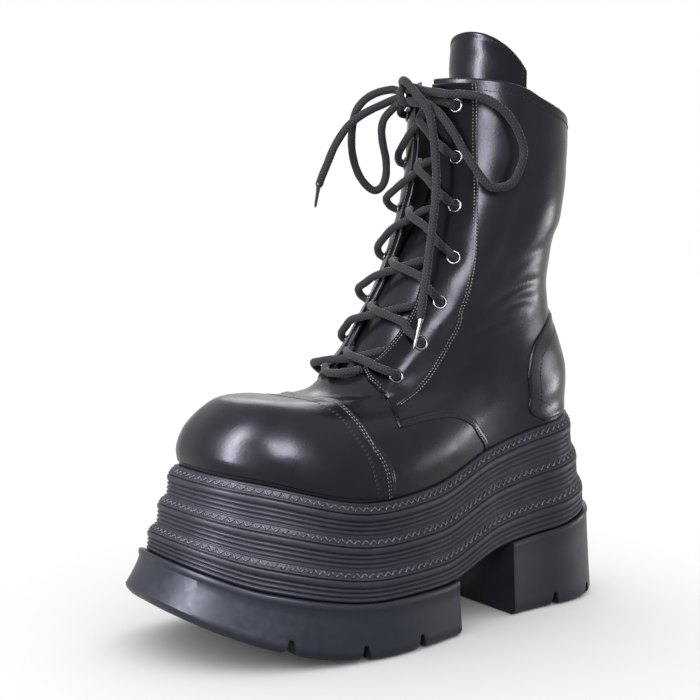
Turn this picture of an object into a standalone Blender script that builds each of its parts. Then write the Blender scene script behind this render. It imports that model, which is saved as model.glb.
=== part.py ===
"""Lace-up platform boot for the left foot, in metres.

The toe points towards -Y, the outer side of the foot is +X, and the boot stands on z = 0.
Heights and lengths in the tables are shares of the named sizes that they follow.
"""
from math import pi, radians

import bmesh
import bpy
import numpy as np
from mathutils import Vector

for old in list(bpy.data.objects):
    bpy.data.objects.remove(old)

# Sole sizes
SOLE_LENGTH = 0.292
SOLE_LATERAL = 0.0702
SOLE_MEDIAL = 0.0588
SOLE_SEAT = 0.0439
SEAT_HEIGHT = 0.1172
TOE_SPRING = 0.0293
TOE_SWING = 0.0119
FLARE_TOE = 0.0262
FLARE_SIDE = 0.0134
FLARE_HEEL = 0.0190
TIERS = 3
RIBS = 4
RIB_DEPTH = 0.0009
FOREPART_END = 0.0125
HEEL_FRONT = 0.0615
GROOVE_DEPTH = 0.0082
GROOVE_WIDTH = 0.0068

# Upper sizes; its length is what the platform leaves between its flares
UPPER_INSET = 0.0015
UPPER_LENGTH = SOLE_LENGTH - FLARE_TOE - FLARE_HEEL - UPPER_INSET / 2
UPPER_WIDTH = 0.0992
UPPER_RISE = 0.227
UPPER_WALL = 0.0022
OVERLAY = 0.0013
GAP = 0.0003
FEATHER_GAP = 0.0004
OUTLINE_OUT = 0.005
OUTLINE_IN = 0.002
BORE_LENGTH = 0.014
INSOLE_MARGIN = 0.0018
INSOLE_THICKNESS = 0.003
TONGUE_THICKNESS = 0.0025
TONGUE_RADIUS = 0.028
TONGUE_TOP = 0.334

# Lace and eyelets
LACE_DIAMETER = 0.0046
EYELET_HOLE = 0.0025
EYELET_BARREL = 0.0030
EYELET_FLANGE = 0.0042
EYELET_HEIGHT = 0.0009
AGLET_LENGTH = 0.0165
AGLET_DIAMETER = 0.0026
AGLET_GAP = 0.0008

BALL_Y = -0.134 * SOLE_LENGTH
SEAT_Y = 0.325 * SOLE_LENGTH
TOE_Y = -0.5 * SOLE_LENGTH
HEEL_Y = 0.5 * SOLE_LENGTH
MIDDLE = (SOLE_LATERAL - SOLE_MEDIAL) / 2
SOLE_TOE_POWER = 2.5
SOLE_HEEL_POWER = 2.36
WAIST_PINCH = 0.002

# Station along the sole, height of the platform's top there and of its underside
SOLE_HEIGHTS = (
    (-0.500, 0.853, 0.468),
    (-0.351, 0.777, 0.328),
    (-0.140, 0.665, 0.245),
    (0.000, 0.691, 0.245),
    (0.175, 0.821, 0.345),
    (0.351, 0.916, 0.393),
    (0.500, 1.000, 0.486),
)

# Rings of the last above the feather edge. Lengths start at the toe of the upper, heights at
# the platform under the ball: front y and z, ball y, z, lateral and medial half widths,
# seat y, z, lateral and medial half widths, back y and z, squareness of front and back.
LAST_RINGS = (
    (-0.003, 0.115, 0.318, 0.044, 0.570, 0.454, 0.798, 0.154, 0.338, 0.338, 1.001, 0.189, 2.50, 2.30),
    (0.014, 0.163, 0.318, 0.088, 0.554, 0.444, 0.794, 0.194, 0.343, 0.343, 1.005, 0.229, 2.50, 2.30),
    (0.050, 0.204, 0.322, 0.132, 0.509, 0.408, 0.790, 0.233, 0.343, 0.343, 1.005, 0.269, 2.45, 2.25),
    (0.088, 0.228, 0.335, 0.172, 0.449, 0.363, 0.782, 0.269, 0.343, 0.343, 0.997, 0.308, 2.35, 2.20),
    (0.143, 0.232, 0.355, 0.200, 0.378, 0.318, 0.770, 0.300, 0.343, 0.343, 0.983, 0.348, 2.20, 2.20),
    (0.221, 0.220, 0.383, 0.222, 0.338, 0.292, 0.757, 0.330, 0.343, 0.343, 0.967, 0.388, 2.10, 2.15),
    (0.294, 0.224, 0.428, 0.250, 0.323, 0.287, 0.745, 0.366, 0.348, 0.348, 0.957, 0.427, 2.10, 2.10),
    (0.355, 0.268, 0.485, 0.304, 0.323, 0.297, 0.737, 0.405, 0.353, 0.353, 0.950, 0.467, 2.10, 2.10),
    (0.414, 0.335, 0.546, 0.361, 0.333, 0.318, 0.737, 0.449, 0.363, 0.363, 0.946, 0.511, 2.10, 2.10),
    (0.469, 0.427, 0.611, 0.436, 0.353, 0.343, 0.749, 0.502, 0.378, 0.378, 0.948, 0.559, 2.10, 2.10),
    (0.522, 0.524, 0.672, 0.524, 0.383, 0.373, 0.770, 0.573, 0.398, 0.398, 0.954, 0.621, 2.10, 2.10),
    (0.568, 0.639, 0.725, 0.630, 0.413, 0.408, 0.794, 0.652, 0.423, 0.423, 0.963, 0.652, 2.10, 2.10),
    (0.597, 0.758, 0.753, 0.744, 0.433, 0.433, 0.806, 0.744, 0.439, 0.439, 0.973, 0.727, 2.10, 2.10),
    (0.607, 0.877, 0.761, 0.859, 0.439, 0.439, 0.810, 0.846, 0.444, 0.444, 0.979, 0.811, 2.10, 2.10),
    (0.611, 1.000, 0.761, 0.971, 0.439, 0.439, 0.810, 0.949, 0.444, 0.444, 0.981, 0.899, 2.10, 2.10),
)

# Share of the ring from the front to the side and on to the seat
SIDE_START = 0.50
SIDE_END = 0.62

# Panel lines on the last: height up the rings, then the place round the ring on each side
THROAT_EDGE = (
    (0.540, 0.120, 0.090),
    (0.580, 0.198, 0.110),
    (0.650, 0.225, 0.115),
    (0.733, 0.172, 0.090),
    (0.800, 0.105, 0.085),
    (0.853, 0.065, 0.070),
    (0.905, 0.045, 0.060),
    (1.000, 0.035, 0.055),
)
EYESTAY_FRONT = (
    (0.240, 0.517, 0.517),
    (0.290, 0.514, 0.514),
    (0.430, 0.447, 0.430),
    (0.520, 0.222, 0.200),
    (0.545, 0.178, 0.125),
)
EYESTAY_BACK = (
    (0.240, 0.525, 0.525),
    (0.325, 0.528, 0.528),
    (0.447, 0.540, 0.540),
    (0.582, 0.532, 0.532),
    (0.690, 0.460, 0.460),
    (0.753, 0.377, 0.377),
    (0.815, 0.318, 0.318),
    (0.853, 0.295, 0.295),
    (0.930, 0.262, 0.262),
    (1.000, 0.237, 0.237),
)
TOE_CAP_EDGE = (
    (0.012, 0.511),
    (0.090, 0.509),
    (0.162, 0.506),
    (0.250, 0.497),
    (0.318, 0.448),
    (0.380, 0.352),
    (0.425, 0.220),
    (0.448, 0.060),
)
COUNTER_EDGE = (
    (0.012, 0.635),
    (0.207, 0.636),
    (0.300, 0.655),
    (0.370, 0.690),
    (0.420, 0.760),
    (0.455, 0.860),
    (0.470, 0.970),
)
# The seam where the quarter meets the vamp: upper and lower edge of its folded strip
WING_SEAM = (
    (0.232, 0.5300, 0.213, 0.5300),
    (0.226, 0.5400, 0.206, 0.5385),
    (0.205, 0.5550, 0.187, 0.5505),
    (0.167, 0.5670, 0.155, 0.5600),
    (0.115, 0.5750, 0.112, 0.5670),
    (0.045, 0.5850, 0.045, 0.5770),
    (0.012, 0.5880, 0.012, 0.5800),
)
# Height and place round the ring of each eyelet, lateral and medial, from the bottom up
EYELETS = (
    (0.507, 0.432, 0.340),
    (0.598, 0.395, 0.290),
    (0.678, 0.345, 0.265),
    (0.752, 0.290, 0.245),
    (0.825, 0.210, 0.225),
    (0.892, 0.178, 0.210),
    (0.962, 0.165, 0.200),
)

parts = bpy.data.collections.new("platform_boot")
cutters = bpy.data.collections.new("cutters")
bpy.context.scene.collection.children.link(parts)
bpy.context.scene.collection.children.link(cutters)
boot = bpy.data.objects.new("boot_frame", None)
parts.objects.link(boot)


def material(name, colour, roughness, metallic=0.0):
    made = bpy.data.materials.new(name)
    made.use_nodes = True
    shader = made.node_tree.nodes["Principled BSDF"]
    shader.inputs["Base Color"].default_value = (*colour, 1.0)
    shader.inputs["Roughness"].default_value = roughness
    shader.inputs["Metallic"].default_value = metallic
    return made


LEATHER = material("black_leather", (0.012, 0.012, 0.016), 0.32)
LINING = material("black_lining", (0.02, 0.02, 0.022), 0.8)
RUBBER = material("black_rubber", (0.028, 0.030, 0.038), 0.55)
CORD = material("black_cord", (0.015, 0.015, 0.017), 0.85)
GUNMETAL = material("gunmetal", (0.10, 0.10, 0.11), 0.3, 1.0)


def smooth_line(stations, values, where):
    """Cubic line through the stations that never overshoots a value."""
    stations = np.asarray(stations, float)
    values = np.asarray(values, float)
    slopes = np.diff(values) / np.diff(stations)
    tangents = np.zeros_like(values)
    tangents[0] = slopes[0]
    tangents[-1] = slopes[-1]
    for k in range(1, len(stations) - 1):
        if slopes[k - 1] * slopes[k] > 0:
            tangents[k] = 2 * slopes[k - 1] * slopes[k] / (slopes[k - 1] + slopes[k])
    place = np.clip(np.searchsorted(stations, where) - 1, 0, len(stations) - 2)
    step = stations[place + 1] - stations[place]
    s = np.clip((where - stations[place]) / step, 0, 1)
    start = (2 * s**3 - 3 * s**2 + 1) * values[place] + (s**3 - 2 * s**2 + s) * step * tangents[place]
    end = (3 * s**2 - 2 * s**3) * values[place + 1] + (s**3 - s**2) * step * tangents[place + 1]
    return start + end


def sole_height(y, column):
    """Height of the platform's top (column 1) or underside (column 2) at y."""
    stations = [row[0] * SOLE_LENGTH for row in SOLE_HEIGHTS]
    heights = [row[column] * SEAT_HEIGHT for row in SOLE_HEIGHTS]
    return smooth_line(stations, heights, y)


def ground_height(y):
    """Underside of the tread, which rises towards the toe."""
    q = np.clip((BALL_Y - y) / (BALL_Y - TOE_Y), 0, None)
    return TOE_SPRING * q**2


def half_ring(t, ends, stations, widths, powers, pinch=0.0):
    """x and y of half a ring, from its front (t = 0) round one side to its back (t = 1)."""
    front, back = ends
    ball, seat = stations
    ball_width, seat_width = widths
    a = np.clip(t / SIDE_START, 0, 1) * pi / 2
    x_front = ball_width * np.abs(np.sin(a)) ** (2 / powers[0])
    y_front = ball + (front - ball) * np.abs(np.cos(a)) ** (2 / powers[0])
    s = np.clip((t - SIDE_START) / (SIDE_END - SIDE_START), 0, 1)
    x_side = ball_width + (seat_width - ball_width) * s * s * (3 - 2 * s) - pinch * 4 * s * (1 - s)
    y_side = ball + (seat - ball) * s
    b = np.clip((t - SIDE_END) / (1 - SIDE_END), 0, 1) * pi / 2
    x_back = seat_width * np.abs(np.cos(b)) ** (2 / powers[1])
    y_back = seat + (back - seat) * np.abs(np.sin(b)) ** (2 / powers[1])
    x = np.where(t <= SIDE_START, x_front, np.where(t <= SIDE_END, x_side, x_back))
    y = np.where(t <= SIDE_START, y_front, np.where(t <= SIDE_END, y_side, y_back))
    return x, y


def swung(x, y):
    """x from the middle of the sole's width, with the toe swung towards the inner side."""
    q = np.clip((BALL_Y - y) / (BALL_Y - TOE_Y), 0, None)
    return x - MIDDLE - TOE_SWING * q**2


def sole_outline(t, side, toe_inset, side_inset, heel_inset):
    """The sole's outline seen from above, drawn in by the three insets."""
    width = SOLE_LATERAL if side > 0 else SOLE_MEDIAL
    ends = (TOE_Y + toe_inset, HEEL_Y - heel_inset)
    widths = (width - side_inset, SOLE_SEAT - 0.8 * side_inset)
    x, y = half_ring(t, ends, (BALL_Y, SEAT_Y), widths, (SOLE_TOE_POWER, SOLE_HEEL_POWER), WAIST_PINCH)
    return swung(side * x, y), y


def feather_ring(t, side, inset=0.0):
    """The upper's lower edge, which stands on the platform just inside its rim."""
    inset = UPPER_INSET + inset
    x, y = sole_outline(t, side, FLARE_TOE + inset, FLARE_SIDE + inset, FLARE_HEEL + inset)
    return np.stack([x, y, sole_height(y, 1) + FEATHER_GAP], -1)


UPPER_TOE = TOE_Y + FLARE_TOE + UPPER_INSET
BALL_HEIGHT = float(sole_height(np.array(BALL_Y), 1))


def last_ring(row, t, side):
    """One ring of the last, as points for the given places on one side."""
    front, back = (UPPER_TOE + row[k] * UPPER_LENGTH for k in (0, 10))
    ball, seat = (UPPER_TOE + row[k] * UPPER_LENGTH for k in (2, 6))
    widths = (row[4], row[8]) if side > 0 else (row[5], row[9])
    widths = [share * UPPER_WIDTH for share in widths]
    x, y = half_ring(t, (front, back), (ball, seat), widths, row[12:14])
    heights = [BALL_HEIGHT + row[k] * UPPER_RISE for k in (1, 3, 7, 11)]
    z = smooth_line([front - 1e-6, ball, seat, back + 1e-6], heights, y)
    return np.stack([swung(side * x, y), y, z], -1)


def last_points(u, w):
    """The last's outer surface: u runs up from 0 to 1, and w round it from -1 to 1.

    w is 0 at the front, positive on the lateral side, and 1 or -1 at the back.
    """
    u, w = np.broadcast_arrays(np.asarray(u, float), np.asarray(w, float))
    w = (w + 1) % 2 - 1
    t = np.abs(w)
    rings = []
    for side in (1, -1):
        stack = [feather_ring(t, side)] + [last_ring(row, t, side) for row in LAST_RINGS]
        rings.append(np.stack(stack))
    rings = np.where((w >= 0)[None, ..., None], rings[0], rings[1])
    count = len(rings)
    q = np.clip(u * (count - 1), 0, count - 1 - 1e-9)
    k = q.astype(int)
    f = (q - k)[..., None]

    def pick(index):
        index = np.clip(index, 0, count - 1)[None, ..., None].repeat(3, -1)
        return np.take_along_axis(rings, index, 0)[0]

    before, low, high, after = pick(k - 1), pick(k), pick(k + 1), pick(k + 2)
    start = np.where((k > 0)[..., None], (high - before) / 2, high - low)
    end = np.where((k < count - 2)[..., None], (after - low) / 2, high - low)
    blend = (2 * f**3 - 3 * f**2 + 1) * low + (f**3 - 2 * f**2 + f) * start
    return blend + (3 * f**2 - 2 * f**3) * high + (f**3 - f**2) * end


def last_normals(u, w, step=0.006):
    """Unit normals of the last, pointing out of the boot."""
    u, w = np.broadcast_arrays(np.asarray(u, float), np.asarray(w, float))
    across = last_points(u, w + step) - last_points(u, w - step)
    up = last_points(np.clip(u + step, 0, 1), w) - last_points(np.clip(u - step, 0, 1), w)
    normal = np.cross(across, up)
    return normal / np.linalg.norm(normal, axis=-1, keepdims=True)


def raised(u, w, lift):
    """Points at a height above the last."""
    return last_points(u, w) + np.asarray(lift)[..., None] * last_normals(u, w)


def link(name, mesh, finish, collection=parts):
    piece = bpy.data.objects.new(name, mesh)
    piece.data.materials.append(finish)
    collection.objects.link(piece)
    piece.parent = boot if collection is parts else None
    return piece


def shade(piece, angle=35):
    piece.data.shade_smooth()
    piece.data.set_sharp_from_angle(angle=radians(angle))


def wall_mesh(name, outer, inner):
    """A closed wall between two grids of points; rows run up, columns run round to the left."""
    rows, columns = outer.shape[:2]
    faces = []

    def quad(a, b, c, d):
        faces.append((a, b, c))
        faces.append((a, c, d))

    back = rows * columns
    for i in range(rows - 1):
        for j in range(columns - 1):
            a = i * columns + j
            b, c, d = a + 1, a + columns + 1, a + columns
            quad(a, b, c, d)
            quad(back + a, back + d, back + c, back + b)
    for j in range(columns - 1):
        top = (rows - 1) * columns + j
        quad(j, back + j, back + j + 1, j + 1)
        quad(top, top + 1, back + top + 1, back + top)
    for i in range(rows - 1):
        first = i * columns
        last = first + columns - 1
        ends = (outer[i, 0] - outer[i, -1], outer[i + 1, 0] - outer[i + 1, -1])
        if max(float(np.abs(end).max()) for end in ends) < 1e-6:
            continue
        quad(first, first + columns, back + first + columns, back + first)
        quad(last, back + last, back + last + columns, last + columns)
    mesh = bpy.data.meshes.new(name)
    mesh.from_pydata(np.concatenate([outer, inner]).reshape(-1, 3).tolist(), [], faces)
    work = bmesh.new()
    work.from_mesh(mesh)
    bmesh.ops.remove_doubles(work, verts=work.verts, dist=1e-6)
    work.to_mesh(mesh)
    work.free()
    return mesh


def wall(name, outer, inner, finish=LEATHER):
    """A leather piece with its own thickness."""
    piece = link(name, wall_mesh(name, outer, inner), finish)
    shade(piece)
    return piece


def cut(piece, cutter, operation="DIFFERENCE"):
    boolean = piece.modifiers.new(cutter.name, "BOOLEAN")
    boolean.operation = operation
    boolean.object = cutter
    boolean.solver = "EXACT"


def as_cutter(piece):
    for collection in piece.users_collection:
        collection.objects.unlink(piece)
    cutters.objects.link(piece)
    piece.hide_render = True
    piece.display_type = "WIRE"
    return piece


def table_line(table, column, u):
    return smooth_line([row[0] for row in table], [row[column] for row in table], u)


# Sole unit: each ring runs round the sole and the flat faces join its two sides
SIDE_STEPS = np.concatenate([
    np.linspace(0, SIDE_START, 9)[:-1],
    np.linspace(SIDE_START, SIDE_END, 4)[:-1],
    np.linspace(SIDE_END, 1, 6),
])


def sole_solid(name, rings, finish, collection=parts):
    """A closed body from rings of points: lateral side toe to heel, then medial heel to toe."""
    half = len(SIDE_STEPS)
    count = 2 * half - 2
    faces = []
    for level in range(len(rings) - 1):
        for j in range(count):
            low = level * count
            nxt = (j + 1) % count
            faces.append((low + j, low + nxt, low + count + nxt, low + count + j))
    for level in (0, len(rings) - 1):
        base = level * count
        for j in range(half - 1):
            right = (count - j) % count
            face = (base + j, base + j + 1, base + (count - j - 1) % count, base + right)
            faces.append(tuple(dict.fromkeys(face)))
    mesh = bpy.data.meshes.new(name)
    mesh.from_pydata(np.concatenate(rings).tolist(), [], faces)
    work = bmesh.new()
    work.from_mesh(mesh)
    bmesh.ops.recalc_face_normals(work, faces=work.faces)
    work.to_mesh(mesh)
    work.free()
    return link(name, mesh, finish, collection)


def sole_ring(insets, height):
    """Ring round the sole; height is a function of y."""
    lateral = sole_outline(SIDE_STEPS, 1, *insets)
    medial = sole_outline(SIDE_STEPS[-2:0:-1], -1, *insets)
    x = np.concatenate([lateral[0], medial[0]])
    y = np.concatenate([lateral[1], medial[1]])
    return np.stack([x, y, height(y)], -1)


UNDER_INSET = (0.41 * FLARE_TOE, 0.29 * FLARE_SIDE, 0.29 * FLARE_HEEL)
TOP_INSET = (FLARE_TOE, FLARE_SIDE, FLARE_HEEL)
BAND_DEPTH = 0.30
BAND_OUT = 0.74


def tier_ring(share_down, share_out, groove=0.0):
    """Ring of the platform's side: how far down from its top, and how far out."""
    insets = [a + (b - a) * share_out + groove for a, b in zip(TOP_INSET, UNDER_INSET)]

    def height(y):
        return sole_height(y, 1) * (1 - share_down) + sole_height(y, 2) * share_down

    return sole_ring(insets, height)


def build_midsole():
    """Three moulded tiers: a sloping stitched band, then fine ribs, stepping out downwards."""
    rings = []
    for tier in range(TIERS):
        rings.append(tier_ring(tier / TIERS, tier / TIERS))
        rings.append(tier_ring((tier + BAND_DEPTH) / TIERS, (tier + BAND_OUT) / TIERS))
        for rib in range(RIBS):
            low = BAND_DEPTH + (1 - BAND_DEPTH) * (rib + 0.40) / RIBS
            out = BAND_OUT + (0.97 - BAND_OUT) * (rib + 0.5) / RIBS
            rings.append(tier_ring((tier + low) / TIERS, (tier + out) / TIERS, RIB_DEPTH))
            if rib < RIBS - 1:
                low = BAND_DEPTH + (1 - BAND_DEPTH) * (rib + 1) / RIBS
                rings.append(tier_ring((tier + low) / TIERS, (tier + out) / TIERS))
    rings.append(tier_ring(1.0, 1.0))
    piece = sole_solid("midsole", rings, RUBBER)
    shade(piece, 20)


LEDGE_INSET = (0.27 * FLARE_TOE, 0.15 * FLARE_SIDE, 0.15 * FLARE_HEEL)
TREAD_EDGE = 0.0025


def tread_block(name):
    """The whole tread before it is cut into its forepart and its heel."""
    rings = [
        sole_ring(LEDGE_INSET, lambda y: sole_height(y, 2) - GAP),
        sole_ring([0.3 * inset for inset in LEDGE_INSET],
                  lambda y: 0.45 * sole_height(y, 2) + 0.55 * ground_height(y)),
        sole_ring((0, 0, 0), lambda y: ground_height(y) + TREAD_EDGE),
        sole_ring((TREAD_EDGE, TREAD_EDGE, TREAD_EDGE), ground_height),
    ]
    return sole_solid(name, rings, RUBBER)


def box_cutter(name, low_y, high_y):
    bpy.ops.mesh.primitive_cube_add(size=1)
    box = bpy.context.object
    box.name = name
    box.scale = (SOLE_LENGTH, high_y - low_y, SOLE_LENGTH)
    box.location = (0, (low_y + high_y) / 2, 0)
    return as_cutter(box)


def groove_cutter(name, y):
    """A bar across the tread whose section narrows upwards, which leaves a lug on each side."""
    base = float(ground_height(np.array(y)))
    half = GROOVE_WIDTH / 2
    section = [(-half * 1.3, -half), (half * 1.3, -half), (half * 0.45, GROOVE_DEPTH), (-half * 0.45, GROOVE_DEPTH)]
    points = [(x, y + across, base + up) for x in (-SOLE_LENGTH, SOLE_LENGTH) for across, up in section]
    faces = [(k, (k + 1) % 4, 4 + (k + 1) % 4, 4 + k) for k in range(4)] + [(3, 2, 1, 0), (4, 5, 6, 7)]
    mesh = bpy.data.meshes.new(name)
    mesh.from_pydata(points, [], faces)
    work = bmesh.new()
    work.from_mesh(mesh)
    bmesh.ops.recalc_face_normals(work, faces=work.faces)
    work.to_mesh(mesh)
    work.free()
    return as_cutter(link(name, mesh, RUBBER, cutters))


# Grooves across the tread, as shares of the sole's length from its middle
FOREPART_GROOVES = (-0.325, -0.193, -0.068)
HEEL_GROOVES = (0.325, 0.432)


def build_treads():
    forepart = tread_block("outsole_forefoot")
    cut(forepart, box_cutter("behind_forepart", FOREPART_END, SOLE_LENGTH))
    for k, share in enumerate(FOREPART_GROOVES):
        cut(forepart, groove_cutter("forepart_groove_%d" % (k + 1), share * SOLE_LENGTH))
    heel = tread_block("outsole_heel")
    cut(heel, box_cutter("before_heel", -SOLE_LENGTH, HEEL_FRONT))
    for k, share in enumerate(HEEL_GROOVES):
        cut(heel, groove_cutter("heel_groove_%d" % (k + 1), share * SOLE_LENGTH))
    shade(forepart, 30)
    shade(heel, 30)


def build_insole():
    """Footbed lying on the platform inside the upper's wall."""
    inset = UPPER_INSET + UPPER_WALL + INSOLE_MARGIN
    insets = (FLARE_TOE + inset, FLARE_SIDE + inset, FLARE_HEEL + inset)
    under = sole_ring(insets, lambda y: sole_height(y, 1) + GAP)
    over = sole_ring(insets, lambda y: sole_height(y, 1) + GAP + INSOLE_THICKNESS)
    piece = sole_solid("insole", [under, over], LINING)
    shade(piece)


# Upper
THROAT_BASE = 0.54
LOW_ROWS = np.array([0.0, 0.055, 0.115, 0.175, 0.235, 0.295, 0.36, 0.425, 0.485, THROAT_BASE])
HIGH_ROWS = np.array([0.595, 0.655, 0.72, 0.79, 0.86, 0.93, 1.0])
PANEL_FOOT = 0.012
PANEL_TOP = 0.993


def throat_edge(u, side):
    column = 1 if side > 0 else 2
    edge = table_line(THROAT_EDGE, column, u)
    return np.where(u > THROAT_BASE + 1e-6, edge, 0.0)


def last_lattice():
    """Heights and places of the grid that the upper and its overlays share."""
    u = np.concatenate([LOW_ROWS, HIGH_ROWS])
    lateral = throat_edge(u, 1)[:, None]
    medial = throat_edge(u, -1)[:, None]
    w_lateral = lateral + (1 - lateral) * SIDE_STEPS[None, :]
    w_medial = medial + (1 - medial) * SIDE_STEPS[None, :]
    w = np.concatenate([w_lateral, 2 - w_medial[:, -2::-1]], 1)
    w[w >= 1.9999999] = 0.0
    return u[:, None], w


def build_upper():
    """Vamp and quarters as one hollow wall: open at the collar, the throat and underneath."""
    u, w = last_lattice()
    inside = np.full(w.shape, -UPPER_WALL)
    return wall("upper", last_points(u, w), raised(u, w, inside))


def overlay(name, u, w, thickness=OVERLAY):
    """A panel laid on the upper: the form just outside it, kept inside an outline.

    The panel's own grid is the upper's, so the two stay one gap apart. The outline is a
    grid of heights u and places w that runs up and round like the upper's.
    """
    lattice_u, lattice_w = last_lattice()
    low = np.full(lattice_w.shape, GAP)
    piece = wall(name, raised(lattice_u, lattice_w, low + thickness), raised(lattice_u, lattice_w, low))
    u = np.broadcast_to(u, w.shape)
    below = raised(u, w, np.full(w.shape, -OUTLINE_IN))
    above = raised(u, w, np.full(w.shape, OUTLINE_OUT))
    outline = wall(name + "_outline", above, below)
    cut(piece, as_cutter(outline), "INTERSECT")
    return piece


def between(left, right, columns):
    share = np.linspace(0, 1, columns)[None, :]
    return left[:, None] + (right - left)[:, None] * share


def build_toe_cap():
    u = np.array([PANEL_FOOT, 0.09, 0.18, 0.25, 0.29, 0.33, 0.37, 0.41, 0.435, 0.448])
    edge = table_line(TOE_CAP_EDGE, 1, u)
    return overlay("toe_cap", u[:, None], between(-edge, edge, 13))


def build_counter():
    u = np.array([PANEL_FOOT, 0.10, 0.20, 0.28, 0.34, 0.39, 0.43, 0.455, 0.469])
    edge = table_line(COUNTER_EDGE, 1, u)
    return overlay("heel_counter", u[:, None], between(edge, 2 - edge, 7))


def build_eyestay(name, side):
    column = 1 if side > 0 else 2
    u = np.array([0.24, 0.32, 0.40, 0.46, 0.52, 0.545, 0.595, 0.655, 0.72, 0.79, 0.86, 0.93, PANEL_TOP])
    beyond = 0.05
    front = np.where(u < 0.56, table_line(EYESTAY_FRONT, column, np.minimum(u, 0.545)),
                     table_line(THROAT_EDGE, column, u) - beyond)
    back = table_line(EYESTAY_BACK, column, u)
    if side > 0:
        return overlay(name, u[:, None], between(front, back, 3))
    return overlay(name, u[:, None], between(-back, -front, 3))


def build_wing_seam(name, side):
    """The folded edge of the quarter where it lies on the vamp."""
    table = np.array(WING_SEAM)
    s = np.linspace(0, 1, len(table))
    fine = np.linspace(0, 1, 9)
    upper_u, upper_w, lower_u, lower_w = (smooth_line(s, table[:, k], fine) for k in range(4))
    u = np.stack([lower_u, upper_u], 1)[::-1]
    w = side * np.stack([lower_w, upper_w], 1)[::-1]
    if side < 0:
        u, w = u[:, ::-1], w[:, ::-1]
    return overlay(name, u, w, 0.7 * OVERLAY)


# Tongue: follows the inside of the upper, then stands back inside the collar as a half round
TONGUE_ROWS = (0.50, 0.55, 0.60, 0.65, 0.70, 0.75, 0.80, 0.85, 0.90, 0.95)
TONGUE_REACH = radians(88)
TONGUE_CENTRE = UPPER_TOE + 0.8222 * UPPER_LENGTH
TONGUE_DROP = 0.023
TONGUE_TUCK = 0.004


def tongue_arc(height, share):
    """Row of the tongue above the laces: a half cylinder with its open side to the back."""
    angle = share * TONGUE_REACH
    x = TONGUE_RADIUS * np.sin(angle) - MIDDLE
    y = TONGUE_CENTRE - TONGUE_RADIUS * np.cos(angle)
    return np.stack([x, y, np.broadcast_to(height, x.shape)], -1)


def grid_normals(points):
    """Unit normals of a grid of points, from its own rows and columns."""
    normal = np.cross(np.gradient(points, axis=1), np.gradient(points, axis=0))
    return normal / np.linalg.norm(normal, axis=-1, keepdims=True)


def build_tongue():
    share = np.linspace(-1, 1, 10)
    rows = []
    collar = BALL_HEIGHT + UPPER_RISE
    for u in TONGUE_ROWS:
        reach = np.interp(u, [0.5, 0.6, 1.0], [0.22, 0.31, 0.42])
        w = share * reach + 0.03
        depth = UPPER_WALL + np.interp(u, [0.5, 0.56, 0.66], [0.0024, 0.0024, 0.0015])
        inside = raised(np.full(w.shape, u), w, np.full(w.shape, -depth))
        blend = np.clip((u - 0.72) / 0.28, 0, 1)
        blend = blend * blend * (3 - 2 * blend)
        arc = tongue_arc(inside[:, 2], share)
        rows.append(inside * (1 - blend) + arc * blend)
    top = TONGUE_TOP - TONGUE_DROP * np.abs(share) ** 2.4
    base = collar - TONGUE_TUCK
    for step in (1, 2, 3):
        rows.append(tongue_arc(base + (top - base) * step / 3, share))
    outer = np.array(rows)
    return wall("tongue", outer, outer - TONGUE_THICKNESS * grid_normals(outer))


# Eyelets
EYELET_SEAT = 0.0003


def frame_at(u, w):
    """Place where a ring sits flat on the eyestay's outer face, with z along the normal."""
    step = 0.004
    middle = last_points(np.array([u]), np.array([w]))[0]
    normal = last_normals(np.array([u]), np.array([w]))[0]
    per_u = np.linalg.norm(last_points(u + step, w) - last_points(u - step, w)) / (2 * step)
    per_w = np.linalg.norm(last_points(u, w + step) - last_points(u, w - step)) / (2 * step)
    angle = np.linspace(0, 2 * pi, 8, endpoint=False)
    rim = last_points(u + EYELET_FLANGE / per_u * np.sin(angle), w + EYELET_FLANGE / per_w * np.cos(angle))
    seat = max(0.0, float(((rim - middle) @ normal).max())) + EYELET_SEAT
    point = Vector(middle + (GAP + OVERLAY + seat) * normal)
    turn = Vector(normal).to_track_quat("Z", "Y")
    return point, turn


def eyelet_profile():
    """Closed section of the ring at +X: flange on the leather and barrel through it."""
    top = GAP + EYELET_HEIGHT
    foot = -(OVERLAY + GAP + 0.5 * UPPER_WALL)
    section = [(EYELET_HOLE, top), (EYELET_FLANGE, top * 0.8), (EYELET_FLANGE, GAP),
               (EYELET_BARREL, GAP), (EYELET_BARREL, foot), (EYELET_HOLE, foot)]
    mesh = bpy.data.meshes.new("eyelet_section")
    mesh.from_pydata([(x, 0, z) for x, z in section], [(k, (k + 1) % 6) for k in range(6)], [])
    return mesh


def build_eyelets(upper, stays):
    profile = eyelet_profile()
    holes = {1: [], -1: []}
    for side, label in ((1, "lateral"), (-1, "medial")):
        for k, (u, lateral, medial) in enumerate(EYELETS):
            w = lateral if side > 0 else -medial
            point, turn = frame_at(u, w)
            ring = link("eyelet_%s_%d" % (label, k + 1), profile, GUNMETAL)
            ring.location = point
            ring.rotation_euler = turn.to_euler()
            screw = ring.modifiers.new("turn", "SCREW")
            screw.steps = 8
            screw.render_steps = 8
            screw.use_merge_vertices = True
            screw.merge_threshold = 1e-5
            bpy.ops.mesh.primitive_cylinder_add(vertices=8, radius=EYELET_BARREL * 1.12, depth=BORE_LENGTH)
            bore = bpy.context.object
            bore.name = "eyelet_bore_%s_%d" % (label, k + 1)
            bore.location = point
            bore.rotation_euler = turn.to_euler()
            holes[side].append(as_cutter(bore))
    for side, stay in stays.items():
        for bore in holes[side]:
            cut(stay, bore)
            cut(upper, bore)


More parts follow.
